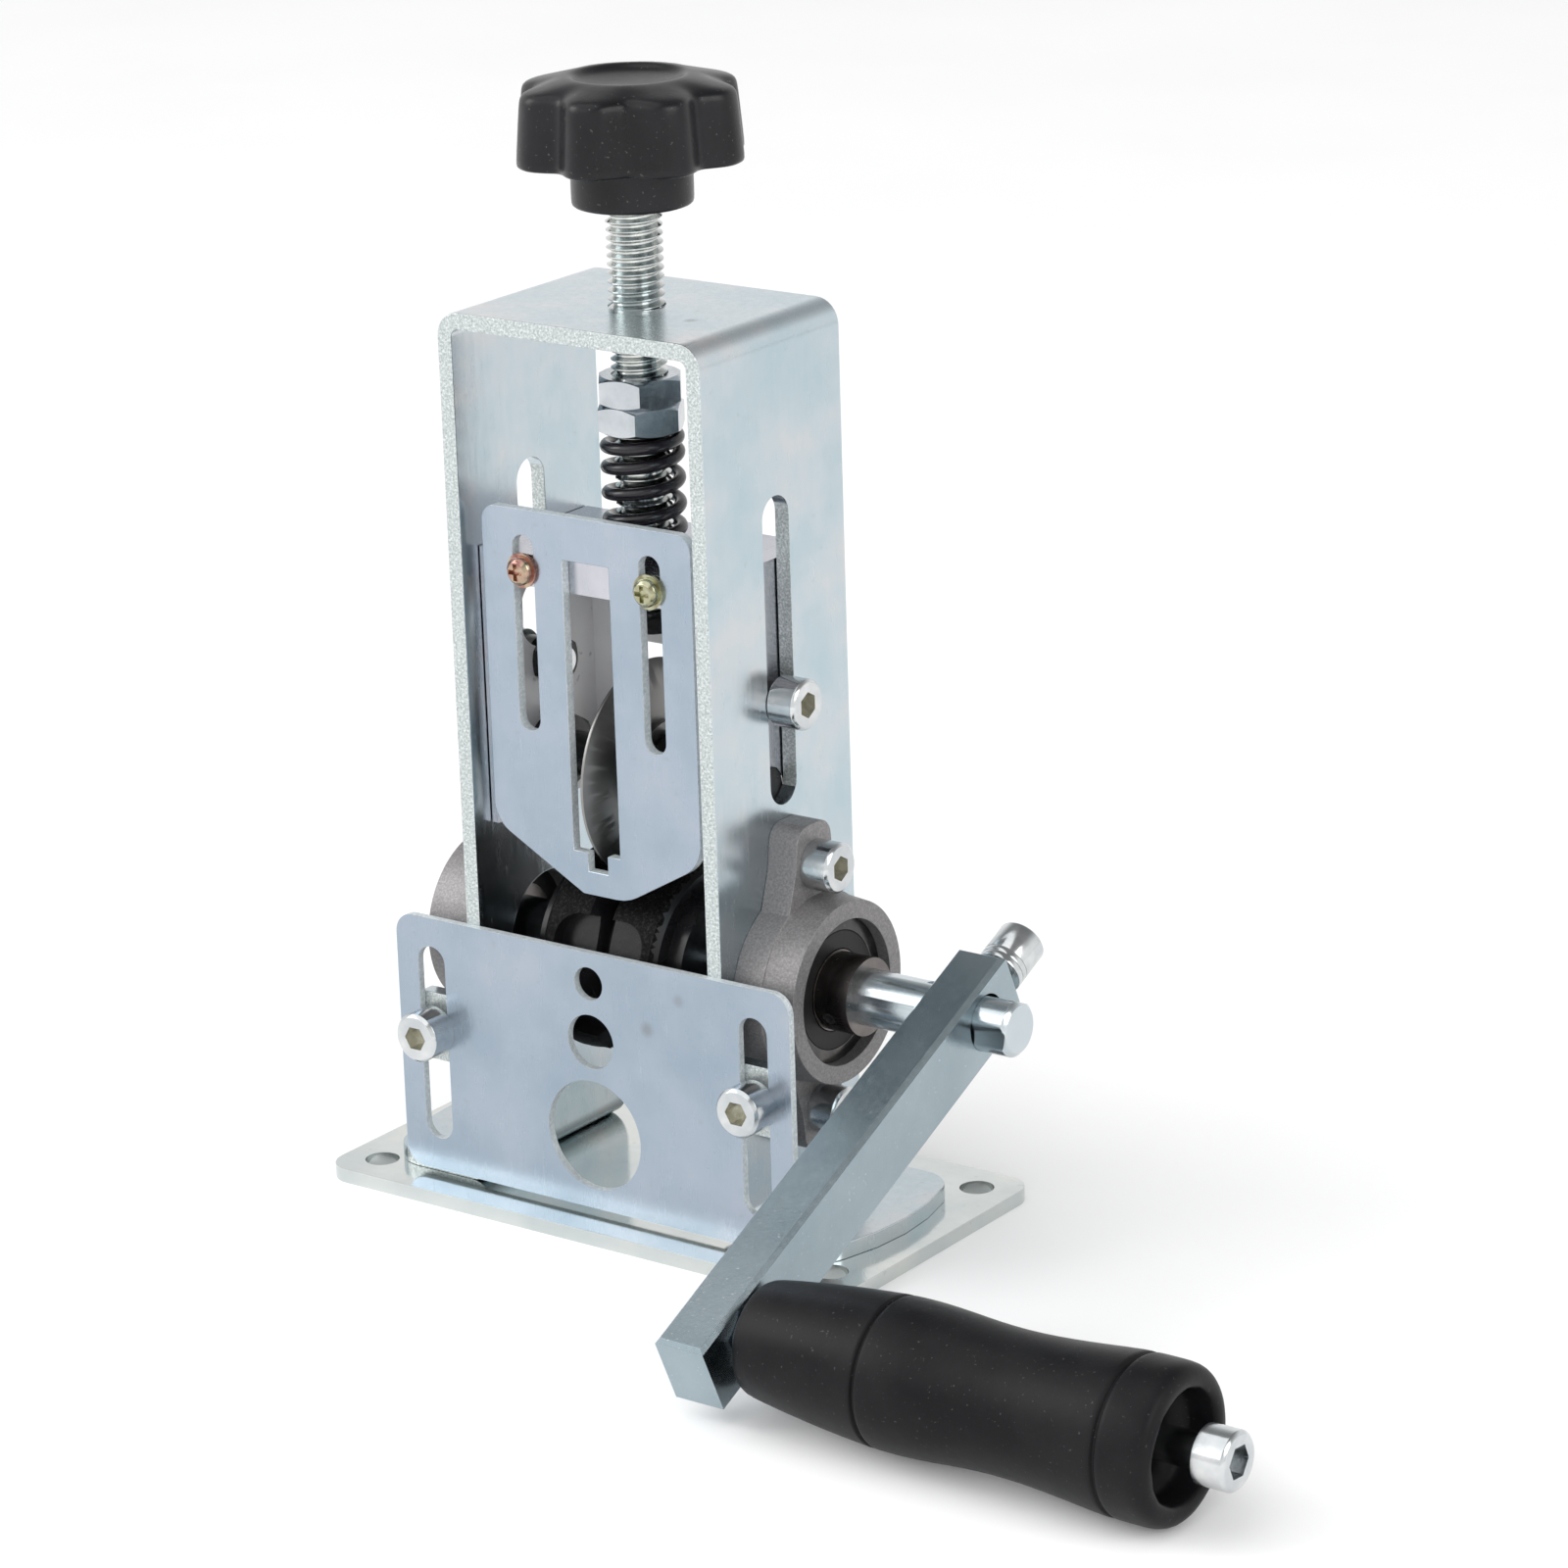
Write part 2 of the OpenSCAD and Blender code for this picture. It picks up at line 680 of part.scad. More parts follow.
// Guide screws, their bushes in the wall slots and their nuts inside the legs
guide_head_gap = 0.1;
guide_nut_af = 8;
guide_nut_t = 4;
guide_end = 0.8;
slot_gap_share = 0.75;
guide_bush_r = wall_slot_w / 2 - slide_gap * slot_gap_share;

module guide_screws() {
    shank = wall_out + guide_head_gap - leg_in + guide_nut_t + guide_end;
    color(bright) both_sides() translate([wall_out + guide_head_gap, frame_y, guide_z])
        rotate([0, 90, 0]) cap_screw(cap_r, shank, cap_head_r, cap_head_h, cap_socket_af);
}

module guide_bushes() {
    color(black) both_sides() translate([leg_out, frame_y, guide_z]) rotate([0, 90, 0])
        washer(guide_bush_r, cap_r + running_gap, wall_out + guide_head_gap - leg_out);
}

module guide_nuts() {
    color(black) both_sides() translate([leg_in - guide_nut_t, frame_y, guide_z]) rotate([0, 90, 0])
        hex_nut(guide_nut_af, guide_nut_t, cap_r + thread_gap);
}

// Wheel axle, its nuts, the cutter wheel and its bush
axle_nut_af = 13;
axle_nut_t = 4.5;
hub_gap = 0.1;

module wheel_axle() {
    color(black) translate([0, frame_y, axle_z]) rod_x(axle_r, -leg_out, leg_out);
}

module axle_nuts() {
    hub_left = wheel_x - wheel_hub_w / 2 - hub_gap - axle_nut_t;
    hub_right = wheel_x + wheel_hub_w / 2 + hub_gap;
    color(black) for (x = [-leg_in, hub_left, hub_right, leg_in - axle_nut_t]) {
        translate([x, frame_y, axle_z]) rotate([0, 90, 0])
            hex_nut(axle_nut_af, axle_nut_t, axle_r + thread_gap);
    }
}

bush_r = 6;
module cutter_wheel() {
    bevel_r = wheel_r - wheel_bevel_w;
    color([0.35, 0.34, 0.33]) translate([wheel_x, frame_y, axle_z]) difference() {
        union() {
            rod_x(bevel_r, -wheel_t / 2, wheel_t / 2);
            cone_x(bevel_r, wheel_r, -wheel_t / 2, -wheel_edge_t / 2);
            rod_x(wheel_r, -wheel_edge_t / 2, wheel_edge_t / 2);
            cone_x(wheel_r, bevel_r, wheel_edge_t / 2, wheel_t / 2);
            rod_x(wheel_hub_d / 2, -wheel_hub_w / 2, wheel_hub_w / 2);
        }
        rod_x(bush_r + press_gap, -wheel_hub_w / 2 - cut, wheel_hub_w / 2 + cut);
    }
}

module wheel_bush() {
    color([0.66, 0.50, 0.30]) translate([wheel_x - wheel_hub_w / 2, frame_y, axle_z]) rotate([0, 90, 0])
        washer(bush_r, axle_r + running_gap, wheel_hub_w);
}

// Drive shaft: round, with three flats and a chamfer on its free end
shaft_end = arm_out + shaft_free_len;
shaft_flat_start = arm_in - shaft_r * share_half;
shaft_chamfer = 0.8;
shaft_flats = 3;

module drive_shaft() {
    color(bright) translate([0, frame_y, shaft_z]) difference() {
        union() {
            rod_x(shaft_r, -collar_end, shaft_end - shaft_chamfer);
            cone_x(shaft_r, shaft_r - shaft_chamfer, shaft_end - shaft_chamfer, shaft_end);
        }
        for (i = [0:shaft_flats - 1]) {
            rotate([shaft_flat_angle + 360 * i / shaft_flats, 0, 0])
                box([shaft_flat_start, shaft_r - shaft_flat_depth, -shaft_r - cut],
                    [shaft_end + cut, shaft_r + cut, shaft_r + cut]);
        }
    }
}

// Drive roller: a drum with chamfered rims, hubs, flutes and the groove that the blade runs in
groove_gap = 1.25;
groove_side = 0.6;
roller_rim = 1.2;
grub_r = 2;
grub_len = 7;

module roller_groove() {
    blade_r = roller_r - blade_dip;
    slope = (wheel_t - wheel_edge_t) / 2 / wheel_bevel_w;
    foot = wheel_edge_t / 2 + groove_side;
    mouth = foot + (blade_dip + cut) * slope;
    translate([wheel_x, 0, 0]) rotate([0, 90, 0]) rotate_extrude() polygon([
        [blade_r - groove_gap, -foot],
        [blade_r, -foot],
        [roller_r + cut, -mouth],
        [roller_r + cut, mouth],
        [blade_r, foot],
        [blade_r - groove_gap, foot]]);
}

module drive_roller() {
    left = roller_x - roller_w / 2;
    right = roller_x + roller_w / 2;
    color(black) translate([0, frame_y, shaft_z]) difference() {
        union() {
            cone_x(roller_r - roller_rim, roller_r, left, left + roller_rim);
            rod_x(roller_r, left + roller_rim, right - roller_rim);
            cone_x(roller_r, roller_r - roller_rim, right - roller_rim, right);
            rod_x(roller_hub_d / 2, left - roller_hub_len, right + roller_hub_len);
        }
        rod_x(shaft_r + running_gap, left - roller_hub_len - cut, right + roller_hub_len + cut);
        roller_groove();
        for (i = [0:flute_count - 1]) {
            rotate([crank_drop + 360 * i / flute_count, 0, 0])
                translate([roller_x, 0, roller_r - flute_depth]) linear_extrude(flute_depth + cut) {
                    straight = flute_len - flute_w;
                    translate([-straight / 2, 0]) circle(d = flute_w);
                    translate([straight / 2, 0]) circle(d = flute_w);
                    square([straight, flute_w], center = true);
                }
        }
        translate([right + roller_hub_len / 2, 0, shaft_r]) cylinder(r = grub_hole_r, h = roller_r);
    }
}
grub_hole_r = 1.25;

module roller_grub_screw() {
    top = roller_hub_d / 2 - hub_gap;
    color(black)
        translate([roller_x + roller_w / 2 + roller_hub_len / 2, frame_y, shaft_z + shaft_r + hub_gap])
        difference() {
            cylinder(r = grub_hole_r - thread_gap, h = top - shaft_r - hub_gap);
            translate([0, 0, top - shaft_r - grub_hole_r])
                cylinder(r = grub_hole_r * socket_share, h = roller_r, $fn = 6);
        }
}

// Bearings: a cast housing, an insert of two rings with balls and seals, a collar with a grub screw
ring_out = 12.2;
ring_wall = 2.4;
ring_face = 2.2;
collar_overlap = 0.4;
inner_ring_r = 7.2;
race_r = insert_d / 2 - ring_wall;
track_r = (race_r + inner_ring_r) / 2;
ring_in = 3;
ball_gap = 0.04;
ball_x = wall_out + (ring_in + ring_out - ring_face) / 2;
seal_t = 0.8;
seal_gap = 0.15;

lug_corner_r = 3.4;
lug_draft = 0.4;
lug_flare = 2.4;

// A round flange with two lugs that flare out to meet it
module bearing_outline() {
    half_pitch = bearing_pitch / 2;
    corner_x = lug_w / 2 - lug_draft - lug_corner_r;
    corner_y = half_pitch + lug_reach - lug_corner_r;
    root = lug_w / 2 + lug_flare;
    root_y = sqrt(bearing_flange_r * bearing_flange_r - root * root);
    lug = concat(
        [[root, 0], [root, root_y], [lug_w / 2, half_pitch]],
        arc([corner_x, corner_y], lug_corner_r, 0, 90),
        arc([-corner_x, corner_y], lug_corner_r, 90, 180),
        [[-lug_w / 2, half_pitch], [-root, root_y], [-root, 0]]);
    circle(r = bearing_flange_r);
    for (s = [-1, 1]) polygon([for (p = lug) [p[0], s * p[1]]]);
}

module bearing_housing() {
    boss_end = wall_out + boss_len;
    color(cast) translate([0, frame_y, shaft_z]) difference() {
        union() {
            slab_yz(wall_out, wall_out + bearing_flange_t) bearing_outline();
            cone_x(boss_r + boss_taper, boss_r, wall_out + bearing_flange_t - boss_taper, boss_end);
        }
        rod_x(wall_hole_d / 2 - boss_taper, wall_out - cut, wall_out + ring_in + cut);
        rod_x(insert_d / 2 + press_gap, wall_out + ring_in, boss_end + cut);
        for (s = [-1, 1]) {
            translate([0, 0, s * bearing_pitch / 2])
                rod_x(cap_r + bolt_gap, wall_out - cut, wall_out + bearing_flange_t + cut);
        }
    }
}
boss_taper = 0.6;

module bearing_housing_left() {
    mirror([1, 0, 0]) bearing_housing();
}

module bearing_housing_right() {
    bearing_housing();
}

module ball_track() {
    translate([ball_x, 0, 0]) rotate([0, 90, 0]) rotate_extrude()
        translate([track_r, 0]) circle(r = ball_d / 2 + ball_gap);
}

module bearing_outer_rings() {
    x0 = wall_out + ring_in;
    x1 = wall_out + ring_out - ring_face;
    color(bright) both_sides() translate([0, frame_y, shaft_z]) difference() {
        rod_x(insert_d / 2, x0, x1);
        rod_x(race_r, x0 - cut, x1 + cut);
        ball_track();
    }
}

module bearing_inner_rings() {
    x0 = wall_out + ring_in;
    x1 = wall_out + ring_out - ring_face;
    grub_x = collar_end - collar_grub_in;
    color([0.42, 0.42, 0.43]) both_sides() translate([0, frame_y, shaft_z]) difference() {
        union() {
            rod_x(inner_ring_r, x0, x1);
            rod_x(collar_d / 2, x1 - collar_overlap, collar_end);
        }
        rod_x(shaft_r + press_gap, x0 - cut, collar_end + cut);
        ball_track();
        rotate([collar_grub_angle, 0, 0]) translate([grub_x, 0, 0]) cylinder(r = grub_hole_r, h = collar_d);
    }
}
collar_grub_angle = 115;
collar_grub_in = 4.2;

module bearing_balls() {
    color(bright) both_sides() translate([ball_x, frame_y, shaft_z]) for (i = [0:ball_count - 1]) {
        rotate([360 * i / ball_count, 0, 0]) translate([0, 0, track_r]) sphere(d = ball_d);
    }
}

module bearing_seals() {
    x_out = wall_out + ring_out - ring_face - seal_t;
    x_in = wall_out + ring_in;
    color(black) both_sides() for (x = [x_in, x_out]) {
        translate([x, frame_y, shaft_z]) rotate([0, 90, 0])
            washer(race_r - press_gap, inner_ring_r + seal_gap, seal_t);
    }
}

module bearing_grub_screws() {
    grub_x = collar_end - collar_grub_in;
    len = collar_d / 2 - shaft_r - seal_gap;
    color(black) both_sides() translate([grub_x, frame_y, shaft_z]) rotate([collar_grub_angle, 0, 0])
        translate([0, 0, shaft_r + hub_gap]) difference() {
            cylinder(r = grub_hole_r - thread_gap, h = len);
            translate([0, 0, len * share_half]) cylinder(r = grub_hole_r * socket_share, h = len, $fn = 6);
        }
}

module bearing_screws() {
    color(bright) both_sides() for (z = bearing_hole_z) {
        translate([wall_out + bearing_flange_t, frame_y, z]) rotate([0, 90, 0])
            cap_screw(cap_r, bearing_flange_t + frame_t, cap_head_r, cap_head_h, cap_socket_af);
    }
}

// Crank: the arm lies along -Y here and is then turned down by the resting angle
module at_crank() {
    translate([0, frame_y, shaft_z]) rotate([crank_drop, 0, 0]) children();
}

clamp_af = cap_socket_af;
clamp_washer_t = 1.25;
clamp_bare = 2.2;
clamp_head_d = 8.7;
clamp_head_h = 6.3;
clamp_washers = 2;

module crank_arm() {
    half_t = arm_t / 2;
    half_w = arm_w / 2;
    low = -crank_throw - arm_tip;
    color([0.72, 0.72, 0.71]) at_crank() difference() {
        slab_yz_chamfered(low, arm_back);
        rod_x(shaft_r + running_gap, arm_in - cut, arm_out + cut);
        translate([0, -crank_throw, 0]) rod_x(bolt_d / 2 + thread_gap, arm_in - cut, arm_out + cut);
        translate([(arm_in + arm_out) / 2, 0, 0]) rod_y(cap_r + thread_gap, 0, arm_back + cut);
    }
    // A bar along Y with its long edges and its ends chamfered
    module slab_yz_chamfered(y0, y1) {
        mid = (arm_in + arm_out) / 2;
        c = arm_chamfer;
        intersection() {
            translate([mid, 0, 0]) slab_xz(y0, y1) polygon([
                [-half_t + c, -half_w], [half_t - c, -half_w], [half_t, -half_w + c], [half_t, half_w - c],
                [half_t - c, half_w], [-half_t + c, half_w], [-half_t, half_w - c], [-half_t, -half_w + c]]);
            slab_yz(arm_in - cut, arm_out + cut) polygon([
                [y0 + c, -half_w], [y1 - c, -half_w], [y1, -half_w + c], [y1, half_w - c],
                [y1 - c, half_w], [y0 + c, half_w], [y0, half_w - c], [y0, -half_w + c]]);
        }
    }
}

module crank_clamp_screw() {
    head_y = arm_back + clamp_bare + clamp_washers * clamp_washer_t;
    tip_y = shaft_r + hub_gap;
    color(bright) at_crank() translate([(arm_in + arm_out) / 2, head_y, 0]) rotate([-90, 0, 0])
        cap_screw(cap_r, head_y - tip_y, clamp_head_d / 2, clamp_head_h, clamp_af);
}

module crank_washers() {
    first = arm_back + clamp_bare;
    color(bright) at_crank() for (i = [0:clamp_washers - 1]) {
        translate([(arm_in + arm_out) / 2, first + i * clamp_washer_t, 0]) rotate([-90, 0, 0])
            washer(clamp_head_d / 2, cap_r + running_gap, clamp_washer_t - press_gap);
    }
}

// Handle: a long bolt from its head, through the grip and a thin nut, into the arm
handle_nut_t = 2.4;
handle_nut_af = 10;
bolt_head_d = 10;
bolt_head_h = 6;
bolt_socket_af = 5;
grip_gap = 0.2;
grip_start = arm_out + handle_nut_t + grip_gap;
grip_end = grip_start + grip_len;
bolt_head_x = grip_end + bolt_play;

module handle_bolt() {
    color(bright) at_crank() translate([bolt_head_x, -crank_throw, 0]) rotate([0, 90, 0])
        cap_screw(bolt_d / 2, bolt_head_x - arm_in - arm_chamfer, bolt_head_d / 2, bolt_head_h,
            bolt_socket_af);
}

module handle_nut() {
    color(bright) at_crank() translate([arm_out, -crank_throw, 0]) rotate([0, 90, 0])
        hex_nut(handle_nut_af, handle_nut_t, bolt_d / 2 + thread_gap);
}

// Grip: shares of its length, and of the radii between its small and its large end
grip_groove = 0.7;
grip_recess_d = 18.6;
grip_recess_len = 6;
grip_lip_r = 2.2;
grip_shape_shares = [
    [0, -0.12], [0.02, 0], [0.16, 0.45], [0.30, 0.74]];
grip_rest_shares = [
    [0.35, 0.80], [0.44, 0.76], [0.53, 0.57], [0.62, 0.55], [0.70, 0.62], [0.78, 0.78], [0.85, 0.96]];
groove_shares = [0.323, 0.888];
groove_half = 0.9;
grip_waist_share = 0.78;

function grip_r(share) = grip_small_d / 2 + (grip_large_d - grip_small_d) / 2 * share;

module grip() {
    first = grip_len * groove_shares[0];
    second = grip_len * groove_shares[1];
    main_r = grip_r(grip_waist_share);
    end_r = grip_r(1);
    color(black) at_crank() translate([grip_start, -crank_throw, 0]) rotate([0, 90, 0]) difference() {
        rotate_extrude() polygon(concat(
            [[0, 0]],
            [for (p = grip_shape_shares) [grip_r(p[1]), grip_len * p[0]]],
            [[main_r, first - groove_half], [main_r - grip_groove, first], [main_r, first + groove_half]],
            [for (p = grip_rest_shares) [grip_r(p[1]), grip_len * p[0]]],
            [[end_r, second - groove_half], [end_r - grip_groove, second], [end_r, second + groove_half]],
            [for (q = arc([end_r - grip_lip_r, grip_len - grip_lip_r], grip_lip_r, 0, 90)) q],
            [[0, grip_len]]));
        translate([0, 0, -cut]) cylinder(r = bolt_d / 2 + running_gap, h = grip_len + 2 * cut);
        translate([0, 0, grip_len - grip_recess_len]) cylinder(d = grip_recess_d, h = grip_recess_len + cut);
    }
}

// Adjusting screw, its nuts, the knob and its insert
screw_drop = 15.1;
screw_low = carriage_top - screw_drop;
knob_low = frame_top + knob_rise;
lobe_low = knob_low + knob_hub_h;
lobe_top = lobe_low + knob_lobe_h;
insert_r = 7;
insert_len = 17;
screw_in_knob = 15;
retaining_drop = 14.6;
retaining_t = 3.1;
retaining_af = 12.6;
screw_bevel = 0.8;

module adjusting_screw() {
    color(bright) translate([0, frame_y, 0]) {
        translate([0, 0, screw_low]) cylinder(r1 = screw_r - screw_bevel, r2 = screw_r, h = screw_bevel);
        translate([0, 0, screw_low + screw_bevel])
            cylinder(r = screw_r, h = knob_low + screw_in_knob - screw_low - screw_bevel);
    }
}

top_nut_turn = -53.7;
module jam_nuts() {
    low = carriage_top + spring_len;
    color(bright) translate([0, frame_y, low]) {
        rotate([0, 0, top_nut_turn - jam_turn]) hex_nut(jam_nut_af, jam_nut_t, screw_r + thread_gap);
        translate([0, 0, jam_nut_t]) rotate([0, 0, top_nut_turn])
            hex_nut(jam_nut_af, jam_nut_t, screw_r + thread_gap);
    }
}
jam_turn = 7;

module retaining_nut() {
    color(black) translate([0, frame_y, carriage_top - retaining_drop])
        hex_nut(retaining_af, retaining_t, screw_r + thread_gap);
}

module knob_insert() {
    color([0.62, 0.62, 0.60]) translate([0, frame_y, knob_low])
        washer(insert_r, screw_r + thread_gap, insert_len);
}

// Rings of the lobed part of the knob: [height share, radius share, lobe share], from the rim up and in
knob_ring_shares = [
    [0, 0.97, 1], [0.04, 1, 1], [0.90, 0.94, 1], [0.98, 0.91, 0.95], [1.04, 0.85, 0.7], [1.10, 0.75, 0.35],
    [1.16, 0.64, 0.1], [1.19, 0.54, 0]];
// How much narrower than a sine's the valleys are
valley_power = 1.5;
knob_dish_drop = 1.6;
knob_facets = 96;
dish_ring_shares = [[0.86, 0.55], [0.55, 0.95]];

module knob_lobed() {
    out_r = knob_d / 2;
    dish_r = knob_dish_d / 2;
    top = knob_lobe_h * knob_ring_shares[len(knob_ring_shares) - 1][0];
    rings = concat(
        [for (s = knob_ring_shares) [knob_lobe_h * s[0], out_r * s[1], knob_valley * s[2]]],
        [[top, dish_r, 0]],
        [for (s = dish_ring_shares) [top - knob_dish_drop * s[1], dish_r * s[0], 0]]);
    points = [for (ring = rings, i = [0:knob_facets - 1])
        let(a = 360 * i / knob_facets,
            r = ring[1] - ring[2] * pow((1 - cos(knob_lobes * a)) / 2, valley_power))
        [r * cos(a), r * sin(a), ring[0]]];
    last = len(points);
    bottom_middle = [[0, 0, 0]];
    top_middle = [[0, 0, top - knob_dish_drop]];
    polyhedron(
        points = concat(points, bottom_middle, top_middle),
        faces = concat(
            [for (j = [0:len(rings) - 2], i = [0:knob_facets - 1])
                let(a = j * knob_facets + i, b = j * knob_facets + (i + 1) % knob_facets)
                each [[a, a + knob_facets, b], [b, a + knob_facets, b + knob_facets]]],
            [for (i = [0:knob_facets - 1]) [i, (i + 1) % knob_facets, last]],
            [for (i = [0:knob_facets - 1])
                let(start = (len(rings) - 1) * knob_facets)
                [start + (i + 1) % knob_facets, start + i, last + 1]]));
}

module knob() {
    edge = knob_hub_d * knob_edge_share;
    color(black) translate([0, frame_y, 0]) difference() {
        union() {
            translate([0, 0, lobe_low]) rotate([0, 0, top_nut_turn + 180 / knob_lobes]) knob_lobed();
            translate([0, 0, knob_low]) cylinder(r1 = knob_hub_d / 2 - edge, r2 = knob_hub_d / 2, h = edge);
            translate([0, 0, knob_low + edge]) cylinder(r = knob_hub_d / 2, h = knob_hub_h);
        }
        translate([0, 0, knob_low - cut]) cylinder(r = insert_r + press_gap, h = insert_len + cut);
    }
}
knob_edge_share = 0.04;

// Compression spring: one helix of round wire, closed at both ends
closed_pitch = 2.65;
spring_r = (spring_d - wire_d) / 2;
spring_rise = spring_len - wire_d;
open_pitch = (spring_rise - 2 * closed_pitch) / (spring_turns - 2);
rings_per_turn = 8;
wire_sides = 6;
spring_top_angle = 60;
spring_steps = round(spring_turns * rings_per_turn);

function spring_z(u) =
    u < 1 ? closed_pitch * u :
    u > spring_turns - 1 ? spring_rise - closed_pitch * (spring_turns - u) :
    closed_pitch + open_pitch * (u - 1);
function spring_angle(u) = spring_top_angle - 360 * (spring_turns - u);
function spring_centre(u) =
    let(a = spring_angle(u))
    [spring_r * cos(a), spring_r * sin(a), spring_z(u)];
function spring_slope(u) = (spring_z(u + 1 / rings_per_turn) - spring_z(u - 1 / rings_per_turn))
    * rings_per_turn / 2 / (2 * PI * spring_r);
function wire_ring(c, a, slope) =
    let(out = [cos(a), sin(a), 0],
        along = unit([-sin(a), cos(a), slope]),
        up = cross(out, along))
    [for (k = [0:wire_sides - 1])
        let(t = 90 + 360 * k / wire_sides)
        c + wire_d / 2 * (out * cos(t) + up * sin(t))];
function straight_end(u, way) =
    let(a = spring_angle(u))
    spring_centre(u) + way * wire_d * [-sin(a), cos(a), 0];

module spring() {
    turns = [for (i = [0:spring_steps]) spring_turns * i / spring_steps];
    points = concat(
        wire_ring(straight_end(0, -1), spring_angle(0), 0),
        [for (u = turns) each wire_ring(spring_centre(u), spring_angle(u),
            u == 0 || u == spring_turns ? 0 : spring_slope(u))],
        wire_ring(straight_end(spring_turns, 1), spring_angle(spring_turns), 0));
    count = len(turns) + 2;
    centres = [for (u = turns) spring_centre(u)];
    least = min([for (i = [0:len(turns) - 1], j = [0:len(turns) - 1])
        if (j - i > rings_per_turn / 2) norm(centres[i] - centres[j]) - wire_d]);
    echo("least gap of the spring to itself", least);
    color(black) translate([0, frame_y, carriage_top + wire_d / 2]) polyhedron(
        points = points,
        faces = concat(
            [for (j = [0:count - 2], k = [0:wire_sides - 1])
                let(a = j * wire_sides + k, b = j * wire_sides + (k + 1) % wire_sides)
                each [[a, b, a + wire_sides], [b, b + wire_sides, a + wire_sides]]],
            [for (k = [1:wire_sides - 2]) [0, k + 1, k]],
            [for (k = [1:wire_sides - 2])
                let(start = (count - 1) * wire_sides)
                [start, start + k, start + k + 1]]));
}

base_plate();
frame();
base_screws();
feed_plate();
feed_screws();
guard_plate();
guard_screw_left();
guard_screw_right();
carriage();
guide_screws();
guide_bushes();
guide_nuts();
wheel_axle();
axle_nuts();
cutter_wheel();
wheel_bush();
drive_shaft();
drive_roller();
roller_grub_screw();
bearing_housing_left();
bearing_housing_right();
bearing_outer_rings();
bearing_inner_rings();
bearing_balls();
bearing_seals();
bearing_grub_screws();
bearing_screws();
crank_arm();
crank_clamp_screw();
crank_washers();
handle_bolt();
handle_nut();
grip();
adjusting_screw();
knob();
knob_insert();
jam_nuts();
retaining_nut();
spring();
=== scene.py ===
# Hand crank wire stripper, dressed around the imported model
import json
import math

import bmesh
import bpy
from mathutils import Matrix, Vector, noise as field


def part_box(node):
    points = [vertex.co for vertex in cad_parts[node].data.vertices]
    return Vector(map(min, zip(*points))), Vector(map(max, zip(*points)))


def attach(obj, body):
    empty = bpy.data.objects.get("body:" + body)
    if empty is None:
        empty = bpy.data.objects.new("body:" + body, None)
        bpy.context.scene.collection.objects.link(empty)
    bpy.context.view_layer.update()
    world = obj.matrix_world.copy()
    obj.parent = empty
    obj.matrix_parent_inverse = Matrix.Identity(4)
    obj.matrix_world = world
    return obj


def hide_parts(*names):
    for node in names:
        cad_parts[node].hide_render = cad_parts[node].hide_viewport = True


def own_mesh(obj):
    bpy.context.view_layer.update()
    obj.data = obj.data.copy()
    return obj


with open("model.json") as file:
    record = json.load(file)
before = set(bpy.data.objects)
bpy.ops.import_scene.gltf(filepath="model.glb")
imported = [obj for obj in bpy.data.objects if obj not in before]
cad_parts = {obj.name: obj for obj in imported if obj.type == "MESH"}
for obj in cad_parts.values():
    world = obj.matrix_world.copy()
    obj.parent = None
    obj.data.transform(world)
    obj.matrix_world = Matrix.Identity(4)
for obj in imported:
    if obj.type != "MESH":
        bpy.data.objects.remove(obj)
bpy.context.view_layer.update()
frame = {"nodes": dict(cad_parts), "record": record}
nodes = frame["nodes"]
mm = 0.001

print("frame loaded:", len(nodes), "nodes")

# Places that several pieces share, read from the frame
rollerLow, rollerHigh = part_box("drive_roller")
shaftY = (rollerLow.y + rollerHigh.y) / 2
shaftZ = (rollerLow.z + rollerHigh.z) / 2
rollerRadius = (rollerHigh.z - rollerLow.z) / 2
screwLow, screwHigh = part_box("adjusting_screw")
screwY = (screwLow.y + screwHigh.y) / 2
gripLow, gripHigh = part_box("grip")
gripMiddle = (gripLow + gripHigh) / 2
crankDrop = math.atan2(shaftZ - gripMiddle.z, shaftY - gripMiddle.y)

# Camera, fitted to the straight edges and circles of the photograph
photoCamera = {
    "place": (569.98 * mm, -739.87 * mm, 377.41 * mm),
    "right": (0.81138, 0.58375, -0.02994),
    "up": (-0.15659, 0.26642, 0.95105),
    "lens": 128.0,
    "sensor": 36.0,
    "near": 0.02,
    "far": 30,
}


def addCamera(c):
    data = bpy.data.cameras.new("photoCamera")
    camera = bpy.data.objects.new("photoCamera", data)
    bpy.context.scene.collection.objects.link(camera)
    right = Vector(c["right"]).normalized()
    up = (Vector(c["up"]) - right * right.dot(Vector(c["up"]))).normalized()
    turn = Matrix((right, up, right.cross(up))).transposed().to_4x4()
    camera.matrix_world = Matrix.Translation(c["place"]) @ turn
    data.lens = c["lens"]
    data.sensor_width = c["sensor"]
    data.clip_start = c["near"]
    data.clip_end = c["far"]
    bpy.context.scene.camera = camera


addCamera(photoCamera)
print("camera set")

# Node tree helpers
mixSockets = {"under": 6, "over": 7, "result": 2}  # a Mix node's colour sockets


def startMaterial(name):
    material = bpy.data.materials.new(name)
    material.use_nodes = True
    tree = material.node_tree
    return material, tree, tree.nodes["Principled BSDF"]


def objectPoint(tree, scale=(1, 1, 1)):
    place = tree.nodes.new("ShaderNodeTexCoord")
    mapping = tree.nodes.new("ShaderNodeMapping")
    mapping.inputs["Scale"].default_value = scale
    tree.links.new(place.outputs["Object"], mapping.inputs["Vector"])
    return mapping.outputs["Vector"]


